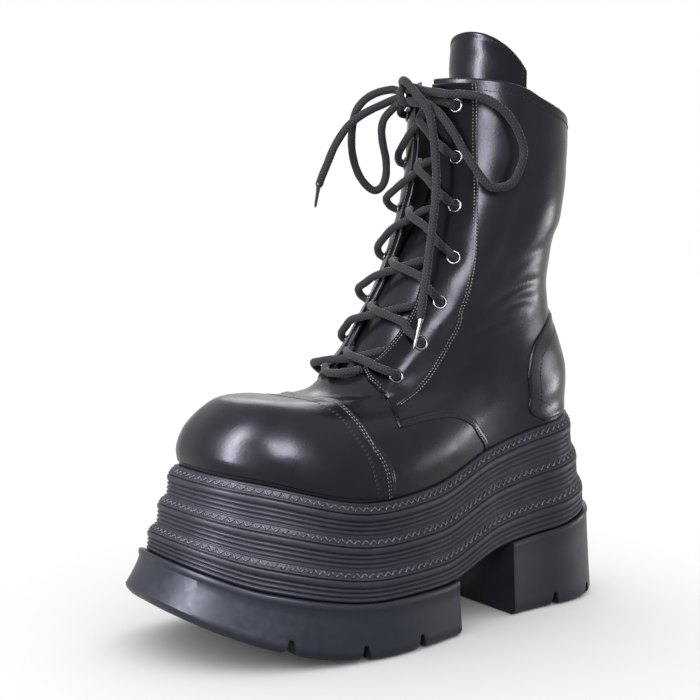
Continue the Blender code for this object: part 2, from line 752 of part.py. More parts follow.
# Laces
def tube(name, route, diameter, sides=2, collection=parts, finish=CORD, closed_ends=True):
    """A cord as a closed mesh along a route of points."""
    curve = bpy.data.curves.new(name, "CURVE")
    curve.dimensions = "3D"
    curve.bevel_depth = diameter / 2
    curve.bevel_resolution = sides
    curve.use_fill_caps = closed_ends
    spline = curve.splines.new("POLY")
    spline.points.add(len(route) - 1)
    for point, place in zip(spline.points, route):
        point.co = (*place, 1.0)
    guide = bpy.data.objects.new(name + "_route", curve)
    bpy.context.scene.collection.objects.link(guide)
    bpy.context.view_layer.update()
    mesh = bpy.data.meshes.new_from_object(guide.evaluated_get(bpy.context.evaluated_depsgraph_get()))
    bpy.data.objects.remove(guide)
    work = bmesh.new()
    work.from_mesh(mesh)
    bmesh.ops.remove_doubles(work, verts=work.verts, dist=1e-6)
    bmesh.ops.recalc_face_normals(work, faces=work.faces)
    work.to_mesh(mesh)
    work.free()
    mesh.name = name
    mesh.materials.clear()
    piece = link(name, mesh, finish, collection)
    shade(piece, 50)
    return piece


def smooth_route(points, count):
    """A smooth curve through hand-placed points, read at even shares of its length."""
    points = np.asarray(points, float)
    padded = np.concatenate([[2 * points[0] - points[1]], points, [2 * points[-1] - points[-2]]])
    dense = []
    for k in range(1, len(padded) - 2):
        a, b, c, d = padded[k - 1:k + 3]
        for f in np.linspace(0, 1, 16, endpoint=False):
            dense.append(0.5 * (2 * b + (c - a) * f + (2 * a - 5 * b + 4 * c - d) * f**2
                                + (3 * b - a - 3 * c + d) * f**3))
    dense = np.array(dense + [points[-1]])
    run = np.concatenate([[0], np.cumsum(np.linalg.norm(np.diff(dense, axis=0), axis=1))])
    even = np.linspace(0, run[-1], count)
    return np.stack([np.interp(even, run, dense[:, k]) for k in range(3)], -1)


OVER_STAY = 2 * GAP + OVERLAY + EYELET_HEIGHT + 0.5 * LACE_DIAMETER + 0.0006
IN_GAP = 0.0008


def strand_route(k, side, over):
    """From beside an eyelet, over the edge of its eyestay and down at the opposite edge."""
    column = 1 if side > 0 else 2
    other = 2 if side > 0 else 1
    u0, w0 = EYELETS[k][0], EYELETS[k][column]
    u1 = EYELETS[k + 1][0]
    near = float(table_line(THROAT_EDGE, column, np.array(max(u0, 0.56) * 0.55 + u1 * 0.45)))
    far = float(table_line(THROAT_EDGE, other, np.array(u1)))
    margin = 0.045 if k == 0 else 0.024
    rise = 0.0008 if k == 0 else 0.0
    stops = [
        (u0, w0, OVER_STAY + rise),
        (u0 + 0.28 * (u1 - u0), near + 0.5 * (w0 - near), OVER_STAY + rise),
        (u0 + 0.55 * (u1 - u0), near, OVER_STAY + 0.0002 + rise),
        (u0 + 0.76 * (u1 - u0), 0.5 * (near - far), 0.0022 + over),
        (u1, -(far - margin), IN_GAP),
    ]
    u, w, lift = (np.array(values) for values in zip(*stops))
    return smooth_route(raised(u, side * w, lift), 7)


def build_laces():
    for k in range(len(EYELETS) - 1):
        top = tube("lace_crossing_%d" % (k + 1), strand_route(k, 1, 0.0014), LACE_DIAMETER, 1)
        under = tube("lace_under_%d" % (k + 1), strand_route(k, -1, -0.0006), LACE_DIAMETER, 1, cutters)
        cut(top, as_cutter(under), "UNION")


def build_bars():
    """The bar behind the lowest eyelets and the one that joins the top pair under the knot."""
    stops = [(0.536, 0.135, 0.0034), (0.532, 0.09, 0.0033), (0.530, 0.03, 0.0032),
             (0.532, -0.03, 0.0033), (0.536, -0.085, 0.0034)]
    u, w, lift = (np.array(values) for values in zip(*stops))
    tube("lace_bar", smooth_route(raised(u, w, lift), 7), LACE_DIAMETER, 1)
    lateral, medial = EYELETS[-1][1], EYELETS[-1][2]
    stops = [(0.962, lateral, OVER_STAY), (0.968, 0.10, OVER_STAY), (0.975, 0.04, OVER_STAY),
             (0.978, -0.01, OVER_STAY), (0.975, -0.06, OVER_STAY), (0.968, -0.12, OVER_STAY),
             (0.962, -medial, OVER_STAY)]
    u, w, lift = (np.array(values) for values in zip(*stops))
    tube("lace_top", smooth_route(raised(u, w, lift), 11), LACE_DIAMETER, 1)


# The bow, in millimetres from the middle of its knot: x, y, z
KNOT_HEIGHT = 0.975
KNOT_LIFT = 0.0149
KNOT_SHIFT = 0.0005
KNOT_RADIUS = 0.0042
KNOT_PITCH = 0.0049
KNOT_TURNS = 1.25
LOOP_LEFT = (
    (-7.4, 0.0, 4.0),
    (-10.5, -3.0, 4.6),
    (-15.0, -10.0, 2.5),
    (-18.5, -15.8, -1.8),
    (-22.0, -19.0, -8.2),
    (-25.0, -19.3, -17.7),
    (-27.0, -18.2, -28.3),
    (-28.0, -14.9, -38.5),
    (-28.0, -10.0, -46.4),
    (-27.0, -3.4, -51.6),
    (-25.0, 1.2, -49.8),
    (-23.0, 3.0, -43.3),
    (-20.5, 1.3, -34.3),
    (-17.5, -3.0, -25.5),
    (-14.5, -6.0, -17.9),
    (-11.5, -6.0, -11.5),
    (-7.4, -2.2, -5.6),
)
LOOP_RIGHT = (
    (7.4, -0.5, 4.2),
    (13.5, 3.5, 2.0),
    (20.5, 6.8, 0.6),
    (28.0, 9.3, -1.0),
    (35.9, 14.4, -1.6),
    (43.2, 21.6, -3.7),
    (47.8, 28.9, -8.5),
    (50.2, 35.5, -15.1),
    (51.1, 40.6, -23.0),
    (51.1, 43.9, -32.0),
    (50.8, 42.0, -41.3),
    (49.8, 37.0, -49.7),
    (47.6, 30.1, -52.5),
    (45.2, 24.2, -51.2),
    (41.7, 18.8, -43.8),
    (37.0, 13.3, -32.6),
    (32.9, 8.8, -22.2),
    (27.6, 5.5, -13.8),
    (21.1, 2.4, -7.4),
    (15.0, 0.5, -5.4),
    (8.3, 0.0, -4.3),
)
END_LEFT = (
    (-7.4, -2.0, -1.0),
    (-10.5, -8.0, -4.0),
    (-14.0, -17.4, -8.9),
    (-18.0, -25.0, -15.2),
    (-21.0, -29.2, -21.4),
    (-24.0, -32.7, -29.2),
    (-26.8, -35.4, -38.2),
    (-29.0, -37.4, -45.0),
    (-32.2, -37.6, -50.2),
)
AGLET_LEFT = (-0.66, 0.27, -0.70)
END_RIGHT = (
    (2.6, -3.8, 7.7),
    (8.5, -5.8, 7.0),
    (16.0, -4.6, 0.0),
    (22.3, -2.2, -7.5),
    (24.5, -0.4, -14.5),
    (25.0, 1.2, -23.0),
    (25.2, 2.3, -34.0),
    (26.8, 2.1, -45.4),
    (28.3, 0.7, -56.6),
    (29.7, -1.8, -68.0),
    (31.5, -5.0, -80.0),
    (33.6, -8.1, -90.7),
    (35.8, -11.4, -101.6),
    (38.0, -15.1, -113.2),
    (40.2, -18.5, -124.7),
)
AGLET_RIGHT = (0.13, -0.36, -0.92)


def build_bow():
    """Knot, two loops and two ends with their aglets, hanging as they do in the picture."""
    knot = raised(np.array([KNOT_HEIGHT]), np.array([0.0]), np.array([KNOT_LIFT]))[0] - (KNOT_SHIFT, 0, 0)
    turn = np.linspace(-0.5, 0.5, 13)
    angle = 2 * pi * KNOT_TURNS * turn + pi / 2
    coil = np.stack([turn * KNOT_TURNS * KNOT_PITCH, KNOT_RADIUS * np.cos(angle),
                     KNOT_RADIUS * np.sin(angle)], -1)
    tube("lace_knot", knot + coil, LACE_DIAMETER)
    for name, table, count in (("lace_loop_left", LOOP_LEFT, 17), ("lace_loop_right", LOOP_RIGHT, 22)):
        tube(name, smooth_route(knot + np.array(table) / 1000, count), LACE_DIAMETER, 1)
    for side, table, count, lean in (("left", END_LEFT, 9, AGLET_LEFT), ("right", END_RIGHT, 15, AGLET_RIGHT)):
        route = smooth_route(knot + np.array(table) / 1000, count)
        tube("lace_end_" + side, route, LACE_DIAMETER, 1)
        lean = np.array(lean) / np.linalg.norm(lean)
        start = route[-1] + lean * AGLET_GAP
        tube("aglet_" + side, [start, start + lean * AGLET_LENGTH], AGLET_DIAMETER, 2, parts, GUNMETAL)


build_midsole()
build_treads()
build_insole()
upper = build_upper()
build_toe_cap()
build_counter()
stays = {1: build_eyestay("eyestay_lateral", 1), -1: build_eyestay("eyestay_medial", -1)}
build_wing_seam("vamp_seam_lateral", 1)
build_wing_seam("vamp_seam_medial", -1)
build_tongue()
build_eyelets(upper, stays)
build_laces()
build_bars()
build_bow()
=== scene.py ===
from math import cos, pi, radians, sin

import bmesh
import bpy
import numpy as np
from mathutils import Matrix, Vector, kdtree


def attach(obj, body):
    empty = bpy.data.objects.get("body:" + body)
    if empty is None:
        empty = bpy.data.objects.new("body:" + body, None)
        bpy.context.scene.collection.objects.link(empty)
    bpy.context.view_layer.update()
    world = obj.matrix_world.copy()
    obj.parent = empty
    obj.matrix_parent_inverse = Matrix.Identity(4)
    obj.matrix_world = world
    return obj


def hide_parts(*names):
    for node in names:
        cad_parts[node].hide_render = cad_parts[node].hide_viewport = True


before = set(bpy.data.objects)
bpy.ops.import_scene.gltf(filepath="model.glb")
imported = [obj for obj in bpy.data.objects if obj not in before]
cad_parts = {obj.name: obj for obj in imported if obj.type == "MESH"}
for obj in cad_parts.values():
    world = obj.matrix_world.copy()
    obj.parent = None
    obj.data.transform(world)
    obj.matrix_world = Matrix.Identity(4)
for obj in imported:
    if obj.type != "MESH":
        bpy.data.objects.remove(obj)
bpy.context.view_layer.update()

# Camera at the picture's place: a little above the ankle, on the outer side of the toe.
# The lens is a 64 mm one on a 36 mm wide sensor, and the picture is square.
CAMERA_PLACE = (0.5737, -0.4030, 0.2043)
CAMERA_LENS = 64.29
SENSOR_WIDTH = 36.0
turn = radians(56.589)
tilt = radians(4.2612)
right = Vector((cos(turn), sin(turn), 0))
back = Vector((sin(turn) * cos(tilt), -cos(turn) * cos(tilt), sin(tilt)))
upward = back.cross(right)
camera_data = bpy.data.cameras.new("camera")
camera_data.lens = CAMERA_LENS
camera_data.sensor_width = SENSOR_WIDTH
camera = bpy.data.objects.new("camera", camera_data)
bpy.context.scene.collection.objects.link(camera)
stand = Matrix.Translation(CAMERA_PLACE)
camera.matrix_world = stand @ Matrix((right, upward, back)).transposed().to_4x4()
bpy.context.scene.camera = camera

# Floor of pale matt card in a white studio. A tall lamp before the toe and four soft boxes, two
# on the outer side and two behind the boot, give the leather its highlights.
FLOOR_RADIUS = 14.0
floor_mesh = bpy.data.meshes.new("floor")
floor_shape = bmesh.new()
bmesh.ops.create_circle(floor_shape, cap_ends=True, segments=96, radius=FLOOR_RADIUS)
floor_shape.to_mesh(floor_mesh)
floor_shape.free()
floor = bpy.data.objects.new("floor", floor_mesh)
floor.location = (0, 0, -0.0002)
bpy.context.scene.collection.objects.link(floor)
card = bpy.data.materials.new("pale_card")
card.use_nodes = True
card_shader = card.node_tree.nodes["Principled BSDF"]
card_shader.inputs["Roughness"].default_value = 0.9
card_shader.inputs["Specular IOR Level"].default_value = 0.1
card_noise = card.node_tree.nodes.new("ShaderNodeTexNoise")
card_noise.inputs["Scale"].default_value = 3.0
card_ramp = card.node_tree.nodes.new("ShaderNodeValToRGB")
card_ramp.color_ramp.elements[0].color = (0.93, 0.93, 0.94, 1)
card_ramp.color_ramp.elements[1].color = (0.95, 0.95, 0.955, 1)
card.node_tree.links.new(card_noise.outputs["Fac"], card_ramp.inputs["Fac"])
card.node_tree.links.new(card_ramp.outputs["Color"], card_shader.inputs["Base Color"])
floor.data.materials.append(card)

world = bpy.data.worlds.new("white_studio")
world.use_nodes = True
world.node_tree.nodes["Background"].inputs["Color"].default_value = (1.0, 1.0, 1.0, 1)
world.node_tree.nodes["Background"].inputs["Strength"].default_value = 1.0
bpy.context.scene.world = world
bpy.context.scene.view_settings.view_transform = "Standard"
bpy.context.scene.view_settings.look = "None"

# Places on the boot that the lamps are aimed at
TOE = Vector((0.012, -0.125, 0.125))
TOE_SIDE = Vector((0.035, -0.120, 0.120))
INSTEP = Vector((0.035, -0.030, 0.190))
ANKLE = Vector((0.000, 0.050, 0.200))


def keep_off(lamp, *pieces):
    """Shade pieces from a light, as a black flag on a stand does in a studio."""
    linking = lamp.light_linking
    if linking.receiver_collection is None:
        linking.receiver_collection = bpy.data.collections.new(lamp.name + "_flag")
    for piece in pieces:
        linking.receiver_collection.objects.link(piece)
    for entry in linking.receiver_collection.collection_objects:
        entry.light_linking.link_state = "EXCLUDE"


def soft_box(name, target, bearing, rise, distance, width, height, power):
    """An area light on the boot alone; bearing 0 is before the toe, 90 on the outer side."""
    light = bpy.data.lights.new(name, "AREA")
    light.shape = "RECTANGLE"
    light.size = width
    light.size_y = height
    light.energy = power
    lamp = bpy.data.objects.new(name, light)
    bearing, rise = radians(bearing), radians(rise)
    aim = Vector((sin(bearing) * cos(rise), -cos(bearing) * cos(rise), sin(rise)))
    lamp.location = target + aim * distance
    lamp.rotation_euler = aim.to_track_quat("Z", "Y").to_euler()
    bpy.context.scene.collection.objects.link(lamp)
    keep_off(lamp, floor)
    return lamp


toe_light = soft_box("toe_light", TOE, 7, 29, 0.5, 0.13, 0.60, 15)
side_light = soft_box("side_light", TOE_SIDE, 71, 35, 0.5, 0.23, 0.25, 7.5)
instep_light = soft_box("instep_light", INSTEP, 98, 12, 0.8, 0.42, 0.32, 13)
soft_box("heel_light", ANKLE, 162, -11, 1.0, 0.34, 0.26, 4.5)
soft_box("back_light", ANKLE, 235, 34, 2.0, 1.6, 0.9, 16)
sun = bpy.data.lights.new("even_light", "SUN")
sun.energy = 0.4
sun.angle = radians(90)
sun_lamp = bpy.data.objects.new("even_light", sun)
bpy.context.scene.collection.objects.link(sun_lamp)

# Bow of the lace: round woven cotton cord, 4.6 mm thick, matt black with long ribs. The
# ends and loops hang from the knot in front of the collar, as limp as a shoelace hangs.
LACE_DIAMETER = 0.0046
KNOT = np.array((-0.0062, 0.0168, 0.2948))


def add_node(tree, kind, inputs=None, **settings):
    """A node with its settings and the values of its inputs."""
    made = tree.nodes.new(kind)
    for name, value in settings.items():
        setattr(made, name, value)
    for name, value in (inputs or {}).items():
        if isinstance(value, bpy.types.NodeSocket):
            tree.links.new(value, made.inputs[name])
        else:
            made.inputs[name].default_value = value
    return made


def new_finish(name, roughness, specular):
    """A material with its node tree and its shader."""
    finish = bpy.data.materials.new(name)
    finish.use_nodes = True
    shader = finish.node_tree.nodes["Principled BSDF"]
    shader.inputs["Roughness"].default_value = roughness
    shader.inputs["Specular IOR Level"].default_value = specular
    return finish, finish.node_tree, shader


def two_tones(tree, factor, dark, light, low=0.35, high=0.65):
    """A colour between two tones, by a factor that is spread between low and high."""
    ramp = add_node(tree, "ShaderNodeValToRGB", {"Fac": factor})
    ramp.color_ramp.elements[0].position = low
    ramp.color_ramp.elements[1].position = high
    ramp.color_ramp.elements[0].color = (*dark, 1)
    ramp.color_ramp.elements[1].color = (*light, 1)
    return ramp.outputs["Color"]


def spread(tree, factor, low, high, from_low=0.3, from_high=0.7):
    """A plain number between low and high, by a factor."""
    made = add_node(tree, "ShaderNodeMapRange", {"Value": factor, "From Min": from_low, "From Max": from_high,
                                                 "To Min": low, "To Max": high})
    return made.outputs["Result"]


def bump(tree, height, distance, strength=1.0, normal=None):
    """A grain of the given depth in metres, on top of another one where that is given."""
    inputs = {"Height": height, "Distance": distance, "Strength": strength}
    if normal is not None:
        inputs["Normal"] = normal
    return add_node(tree, "ShaderNodeBump", inputs).outputs["Normal"]


def object_place(tree):
    """Places on a piece in metres, so that each grain has its real size."""
    return add_node(tree, "ShaderNodeTexCoord").outputs["Object"]


def noise(tree, place, scale, detail):
    """Soft cloudy patches, finer for a larger scale."""
    made = add_node(tree, "ShaderNodeTexNoise", {"Vector": place, "Scale": scale, "Detail": detail})
    return made.outputs["Fac"]


def wire(tree, shader, colour, roughness=None, normal=None):
    """Joins what varies over a finish to its shader."""
    for socket, name in ((colour, "Base Color"), (roughness, "Roughness"), (normal, "Normal")):
        if socket is not None:
            tree.links.new(socket, shader.inputs[name])


def plait(tree, place, slant):
    """Ribs of the braid that wind one way round the cord, or the other way for a slant below 0."""
    stretched = add_node(tree, "ShaderNodeMapping", {"Vector": place, "Scale": (slant, 1.0, 1.0)})
    ribs = add_node(tree, "ShaderNodeTexWave", {"Vector": stretched.outputs["Vector"], "Scale": 0.32,
                                                "Distortion": 0.6, "Detail": 1.0},
                    wave_type="BANDS", bands_direction="DIAGONAL")
    return ribs.outputs["Fac"]


WOVEN, tree, shader = new_finish("woven_black_cotton", 0.85, 0.15)
place = add_node(tree, "ShaderNodeUVMap", uv_map="along").outputs["UV"]
weave_and_groove_shade = add_node(tree, "ShaderNodeMath", {0: plait(tree, place, 10.0), 1: plait(tree, place, -10.0)},
                 operation="ADD").outputs["Value"]
fluff = noise(tree, object_place(tree), 2600.0, 2.0)
# The colour follows the braid's relief, darker in the grooves between its ribs: painted shade there.
wire(tree, shader, two_tones(tree, weave_and_groove_shade, (0.0016, 0.0016, 0.0026), (0.0052, 0.0052, 0.0072), 0.5, 1.6),
     normal=bump(tree, weave_and_groove_shade, 0.00022, 0.7, bump(tree, fluff, 0.00015, 0.5)))
shader.inputs["Sheen Weight"].default_value = 0.06
shader.inputs["Sheen Roughness"].default_value = 0.4

TIP_METAL, tree, shader = new_finish("dark_metal_tip", 0.30, 0.5)
shader.inputs["Metallic"].default_value = 1.0
rubbed = noise(tree, object_place(tree), 420.0, 3.0)
wire(tree, shader, two_tones(tree, rubbed, (0.05, 0.05, 0.055), (0.12, 0.12, 0.13)))


def distances(route):
    """How far along a route each of its points lies."""
    return np.concatenate([[0], np.cumsum(np.linalg.norm(np.diff(route, axis=0), axis=1))])


def read_at(where, run, route):
    """Points of a route at the given distances along it."""
    return np.stack([np.interp(where, run, route[:, axis]) for axis in range(3)], -1)


def smooth_route(points, count):
    """A smooth curve through given points, read at even shares of its length."""
    points = np.asarray(points, float)
    padded = np.concatenate([[2 * points[0] - points[1]], points, [2 * points[-1] - points[-2]]])
    dense = []
    for k in range(1, len(padded) - 2):
        a, b, c, d = padded[k - 1:k + 3]
        for f in np.linspace(0, 1, 16, endpoint=False):
            dense.append(0.5 * (2 * b + (c - a) * f + (2 * a - 5 * b + 4 * c - d) * f**2
                                + (3 * b - a - 3 * c + d) * f**3))
    dense = np.array(dense + [points[-1]])
    run = distances(dense)
    return read_at(np.linspace(0, run[-1], count), run, dense)


# A direction that no route starts in, which gives its first ring a side
ASKEW = (0.31, 0.52, 0.79)


def swept(route, radii, around, lobes=0, lobe_depth=0.0, twist=0.0):
    """Rings round a route, carried along it without turning, and scalloped into long ribs."""
    ahead = np.gradient(route, axis=0)
    ahead /= np.linalg.norm(ahead, axis=1, keepdims=True)
    side = np.cross(ahead[0], ASKEW)
    run = distances(route)
    angle = np.linspace(0, 2 * pi, around, endpoint=False)
    rings = []
    for k, direction in enumerate(ahead):
        side = side - direction * (side @ direction)
        side = side / np.linalg.norm(side)
        across = np.cross(direction, side)
        wave = 1 - lobe_depth * (1 - np.abs(np.cos(lobes * angle / 2))) if lobes else np.ones(around)
        turned = angle + twist * run[k]
        ring = np.cos(turned)[:, None] * side + np.sin(turned)[:, None] * across
        rings.append(route[k] + radii[k] * wave[:, None] * ring)
    return np.array(rings), run


def link(name, mesh, *finishes):
    """A smooth piece in the scene, with its finishes."""
    piece = bpy.data.objects.new(name, mesh)
    for finish in finishes:
        piece.data.materials.append(finish)
    bpy.context.scene.collection.objects.link(piece)
    piece.data.shade_smooth()
    return piece


def face_outward(mesh):
    """Turns every face of a closed mesh to the outside."""
    work = bmesh.new()
    work.from_mesh(mesh)
    bmesh.ops.recalc_face_normals(work, faces=work.faces)
    work.to_mesh(mesh)
    work.free()


def tube_faces(count, around):
    """Faces between the rings of a closed tube, and one flat face on each end."""
    faces = []
    for i in range(count - 1):
        for j in range(around):
            nxt = (j + 1) % around
            faces.append((i * around + j, i * around + nxt, (i + 1) * around + nxt, (i + 1) * around + j))
    faces.append(tuple(range(around))[::-1])
    faces.append(tuple(range((count - 1) * around, count * around)))
    return faces


def tube_piece(name, rings, run, finish):
    """A closed tube with its own length, in millimetres, laid out as a map for the weave."""
    count, around = rings.shape[:2]
    along = run * 1000
    corners = []
    for low, high in zip(along, along[1:]):
        for j in range(around):
            left, right = j / around, (j + 1) / around
            corners += [(left, low), (right, low), (right, high), (left, high)]
    for end in (along[0], along[-1]):
        corners += [(0.5, end)] * around
    mesh = bpy.data.meshes.new(name)
    mesh.from_pydata(rings.reshape(-1, 3).tolist(), [], tube_faces(count, around))
    layer = mesh.uv_layers.new(name="along")
    layer.data.foreach_set("uv", np.array(corners, float).ravel())
    face_outward(mesh)
    return link(name, mesh, finish)


def lace_tube(name, route):
    """A length of lace with ten long ribs that wind slowly round it, its ends rounded off."""
    radii = np.full(len(route), LACE_DIAMETER / 2)
    radii[:2] *= (0.55, 0.9)
    radii[-2:] *= (0.9, 0.55)
    rings, run = swept(route, radii, around=30, lobes=10, lobe_depth=0.10, twist=60.0)
    return tube_piece(name, rings, run, WOVEN)


# Places of the bow's strands from the middle of the knot, in millimetres
LOOP_LEFT = (
    (-7.4, 0.0, 4.0), (-10.5, -3.0, 4.6), (-15.0, -10.0, 2.5), (-18.5, -15.8, -1.8),
    (-22.0, -19.0, -8.2), (-25.0, -19.3, -17.7), (-27.0, -18.2, -28.3), (-28.0, -14.9, -38.5),
    (-28.0, -10.0, -46.4), (-27.0, -3.4, -51.6), (-25.0, 1.2, -49.8), (-23.0, 3.0, -43.3),
    (-20.5, 1.3, -34.3), (-17.5, -3.0, -25.5), (-14.5, -6.0, -17.9), (-11.5, -6.0, -11.5),
    (-7.4, -2.2, -5.6),
)
LOOP_RIGHT = (
    (7.4, -0.5, 4.2), (13.5, 3.5, 2.0), (20.5, 6.8, 0.6), (28.0, 9.3, -1.0), (35.9, 14.4, -1.6),
    (43.2, 21.6, -3.7), (47.8, 28.9, -8.5), (50.2, 35.5, -15.1), (51.1, 40.6, -23.0),
    (51.1, 43.9, -32.0), (50.8, 42.0, -41.3), (49.8, 37.0, -49.7), (47.6, 30.1, -52.5),
    (45.2, 24.2, -51.2), (41.7, 18.8, -43.8), (37.0, 13.3, -32.6), (32.9, 8.8, -22.2),
    (27.6, 5.5, -13.8), (21.1, 2.4, -7.4), (15.0, 0.5, -5.4), (8.3, 0.0, -4.3),
)
END_LEFT = (
    (-7.4, -2.0, -1.0), (-10.5, -8.0, -4.0), (-14.0, -17.4, -8.9), (-18.0, -25.0, -15.2),
    (-21.0, -29.2, -21.4), (-24.0, -32.7, -29.2), (-26.8, -35.4, -38.2), (-29.0, -37.4, -45.0),
    (-32.2, -37.6, -50.2),
)
END_RIGHT = (
    (2.6, -3.8, 7.7), (8.5, -5.8, 7.0), (16.0, -4.6, 0.0), (22.3, -2.2, -7.5), (24.5, -0.4, -14.5),
    (25.0, 1.2, -23.0), (25.2, 2.3, -34.0), (26.8, 2.1, -45.4), (28.3, 0.7, -56.6),
    (29.7, -1.8, -68.0), (31.5, -5.0, -80.0), (33.6, -8.1, -90.7), (35.8, -11.4, -101.6),
    (38.0, -15.1, -113.2), (40.2, -18.5, -124.7),
)
# Share of a strand's first place at which it starts, inside the knot
INTO_KNOT = 0.45

# Way that each metal tip points, and its section: distance from its start, and thickness as a
# share of its diameter
AGLETS = {"left": (-0.66, 0.27, -0.70), "right": (0.13, -0.36, -0.92)}
AGLET_DIAMETER = 0.0026
AGLET_GRIP = 0.0030
AGLET_SECTION = np.array((
    (0, 1.10), (0.0004, 1.28), (0.002, 1.30), (0.0045, 1.0), (0.0085, 0.80),
    (0.0135, 0.72), (0.0172, 0.66), (0.0188, 0.5), (0.0194, 0.28), (0.0197, 0.06),
))

for name, table in (("loop_left", LOOP_LEFT), ("loop_right", LOOP_RIGHT)):
    ends = np.array((table[0], table[-1])) * INTO_KNOT
    stops = np.concatenate([ends[:1], table, ends[1:]]) / 1000
    route = smooth_route(KNOT + stops, 150)
    cord = lace_tube("bow_" + name, route)
    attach(cord, "root")
    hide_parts("lace_" + name)

for side, table in (("left", END_LEFT), ("right", END_RIGHT)):
    stops = np.concatenate([[np.array(table[0]) * INTO_KNOT], table]) / 1000
    route = smooth_route(KNOT + stops, 130)
    cord = lace_tube("bow_end_" + side, route)
    lean = np.array(AGLETS[side]) / np.linalg.norm(AGLETS[side])
    start = route[-1] - lean * AGLET_GRIP
    radii = AGLET_SECTION[:, 1] * AGLET_DIAMETER / 2
    rings, run = swept(start + AGLET_SECTION[:, :1] * lean, radii, 20)
    tip = tube_piece("lace_tip_" + side, rings, run, TIP_METAL)
    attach(cord, "root")
    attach(tip, "root")
    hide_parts("lace_end_" + side)
    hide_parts("aglet_" + side)

# Knot of the bow: one and a quarter turns of the same woven lace, pulled tight round the start
# of the two loops and the two ends.
KNOT_RADIUS = 0.0042
KNOT_PITCH = 0.0049
KNOT_TURNS = 1.25
share = np.linspace(-0.5, 0.5, 60)
angle = 2 * pi * KNOT_TURNS * share + pi / 2
route = KNOT + np.stack([share * KNOT_TURNS * KNOT_PITCH, KNOT_RADIUS * np.cos(angle),
                         KNOT_RADIUS * np.sin(angle)], -1)
cord = lace_tube("bow_knot", route)
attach(cord, "root")
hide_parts("lace_knot")

# Platform: one moulded rubber unit in three tiers. Each tier has a thin lip, a sloping band
# with a raised zigzag, one wide rib and three fine ones, and steps out wider than the last.
SOLE_LENGTH = 0.292
SOLE_LATERAL = 0.0702
SOLE_MEDIAL = 0.0588
SOLE_SEAT = 0.0439
SEAT_HEIGHT = 0.1172
TOE_SPRING = 0.0293
TOE_SWING = 0.0119
FLARE_TOE = 0.0262
FLARE_SIDE = 0.0134
FLARE_HEEL = 0.0190
BALL_Y = -0.134 * SOLE_LENGTH
SEAT_Y = 0.325 * SOLE_LENGTH
TOE_Y = -0.5 * SOLE_LENGTH
HEEL_Y = 0.5 * SOLE_LENGTH
MIDDLE = (SOLE_LATERAL - SOLE_MEDIAL) / 2
SOLE_WAIST = 0.002
SEAT_SHARE = 0.8
SOLE_POWERS = (2.5, 2.36)
SIDE_START = 0.50
SIDE_END = 0.62
TIERS = 3
GAP = 0.0003

# Station along the sole, height of the platform's top there and of its underside
SOLE_HEIGHTS = (
    (-0.500, 0.853, 0.468),
    (-0.351, 0.777, 0.328),
    (-0.140, 0.665, 0.245),
    (0.000, 0.691, 0.245),
    (0.175, 0.821, 0.345),
    (0.351, 0.916, 0.393),
    (0.500, 1.000, 0.486),
)

RUBBER, tree, shader = new_finish("moulded_black_rubber", 0.5, 0.25)
shader.inputs["Specular Tint"].default_value = (0.84, 0.84, 1.0, 1)
place = object_place(tree)
cloudy = noise(tree, place, 26.0, 4.0)
dusty = noise(tree, place, 160.0, 5.0)
fine = noise(tree, place, 1900.0, 2.0)
wire(tree, shader, two_tones(tree, cloudy, (0.0034, 0.0036, 0.0058), (0.0066, 0.0069, 0.0100)),
     spread(tree, dusty, 0.40, 0.56), bump(tree, fine, 0.00008, 0.45, bump(tree, dusty, 0.0002, 0.25)))


def smooth_line(stations, values, where):
    """Cubic line through the stations that never overshoots a value."""
    stations = np.asarray(stations, float)
    values = np.asarray(values, float)
    slopes = np.diff(values) / np.diff(stations)
    tangents = np.zeros_like(values)
    tangents[0] = slopes[0]
    tangents[-1] = slopes[-1]
    for k in range(1, len(stations) - 1):
        if slopes[k - 1] * slopes[k] > 0:
            tangents[k] = 2 * slopes[k - 1] * slopes[k] / (slopes[k - 1] + slopes[k])
    spot = np.clip(np.searchsorted(stations, where) - 1, 0, len(stations) - 2)
    step = stations[spot + 1] - stations[spot]
    s = np.clip((where - stations[spot]) / step, 0, 1)
    start = (2 * s**3 - 3 * s**2 + 1) * values[spot] + (s**3 - 2 * s**2 + s) * step * tangents[spot]
    end = (3 * s**2 - 2 * s**3) * values[spot + 1] + (s**3 - s**2) * step * tangents[spot + 1]
    return start + end


def sole_height(y, column):
    """Height of the platform's top (column 1) or underside (column 2) at y."""
    stations = [row[0] * SOLE_LENGTH for row in SOLE_HEIGHTS]
    heights = [row[column] * SEAT_HEIGHT for row in SOLE_HEIGHTS]
    return smooth_line(stations, heights, y)


def half_ring(t, ends, stations, widths, powers, pinch=0.0):
    """x and y of half a ring, from its front (t = 0) round one side to its back (t = 1)."""
    front, rear = ends
    ball, seat = stations
    ball_width, seat_width = widths
    a = np.clip(t / SIDE_START, 0, 1) * pi / 2
    x_front = ball_width * np.abs(np.sin(a)) ** (2 / powers[0])
    y_front = ball + (front - ball) * np.abs(np.cos(a)) ** (2 / powers[0])
    s = np.clip((t - SIDE_START) / (SIDE_END - SIDE_START), 0, 1)
    x_side = ball_width + (seat_width - ball_width) * s * s * (3 - 2 * s) - pinch * 4 * s * (1 - s)
    y_side = ball + (seat - ball) * s
    b = np.clip((t - SIDE_END) / (1 - SIDE_END), 0, 1) * pi / 2
    x_rear = seat_width * np.abs(np.cos(b)) ** (2 / powers[1])
    y_rear = seat + (rear - seat) * np.abs(np.sin(b)) ** (2 / powers[1])
    x = np.where(t <= SIDE_START, x_front, np.where(t <= SIDE_END, x_side, x_rear))
    y = np.where(t <= SIDE_START, y_front, np.where(t <= SIDE_END, y_side, y_rear))
    return x, y


def toe_share(y):
    """Share of the way from the ball of the foot to the toe."""
    return np.clip((BALL_Y - y) / (BALL_Y - TOE_Y), 0, None)


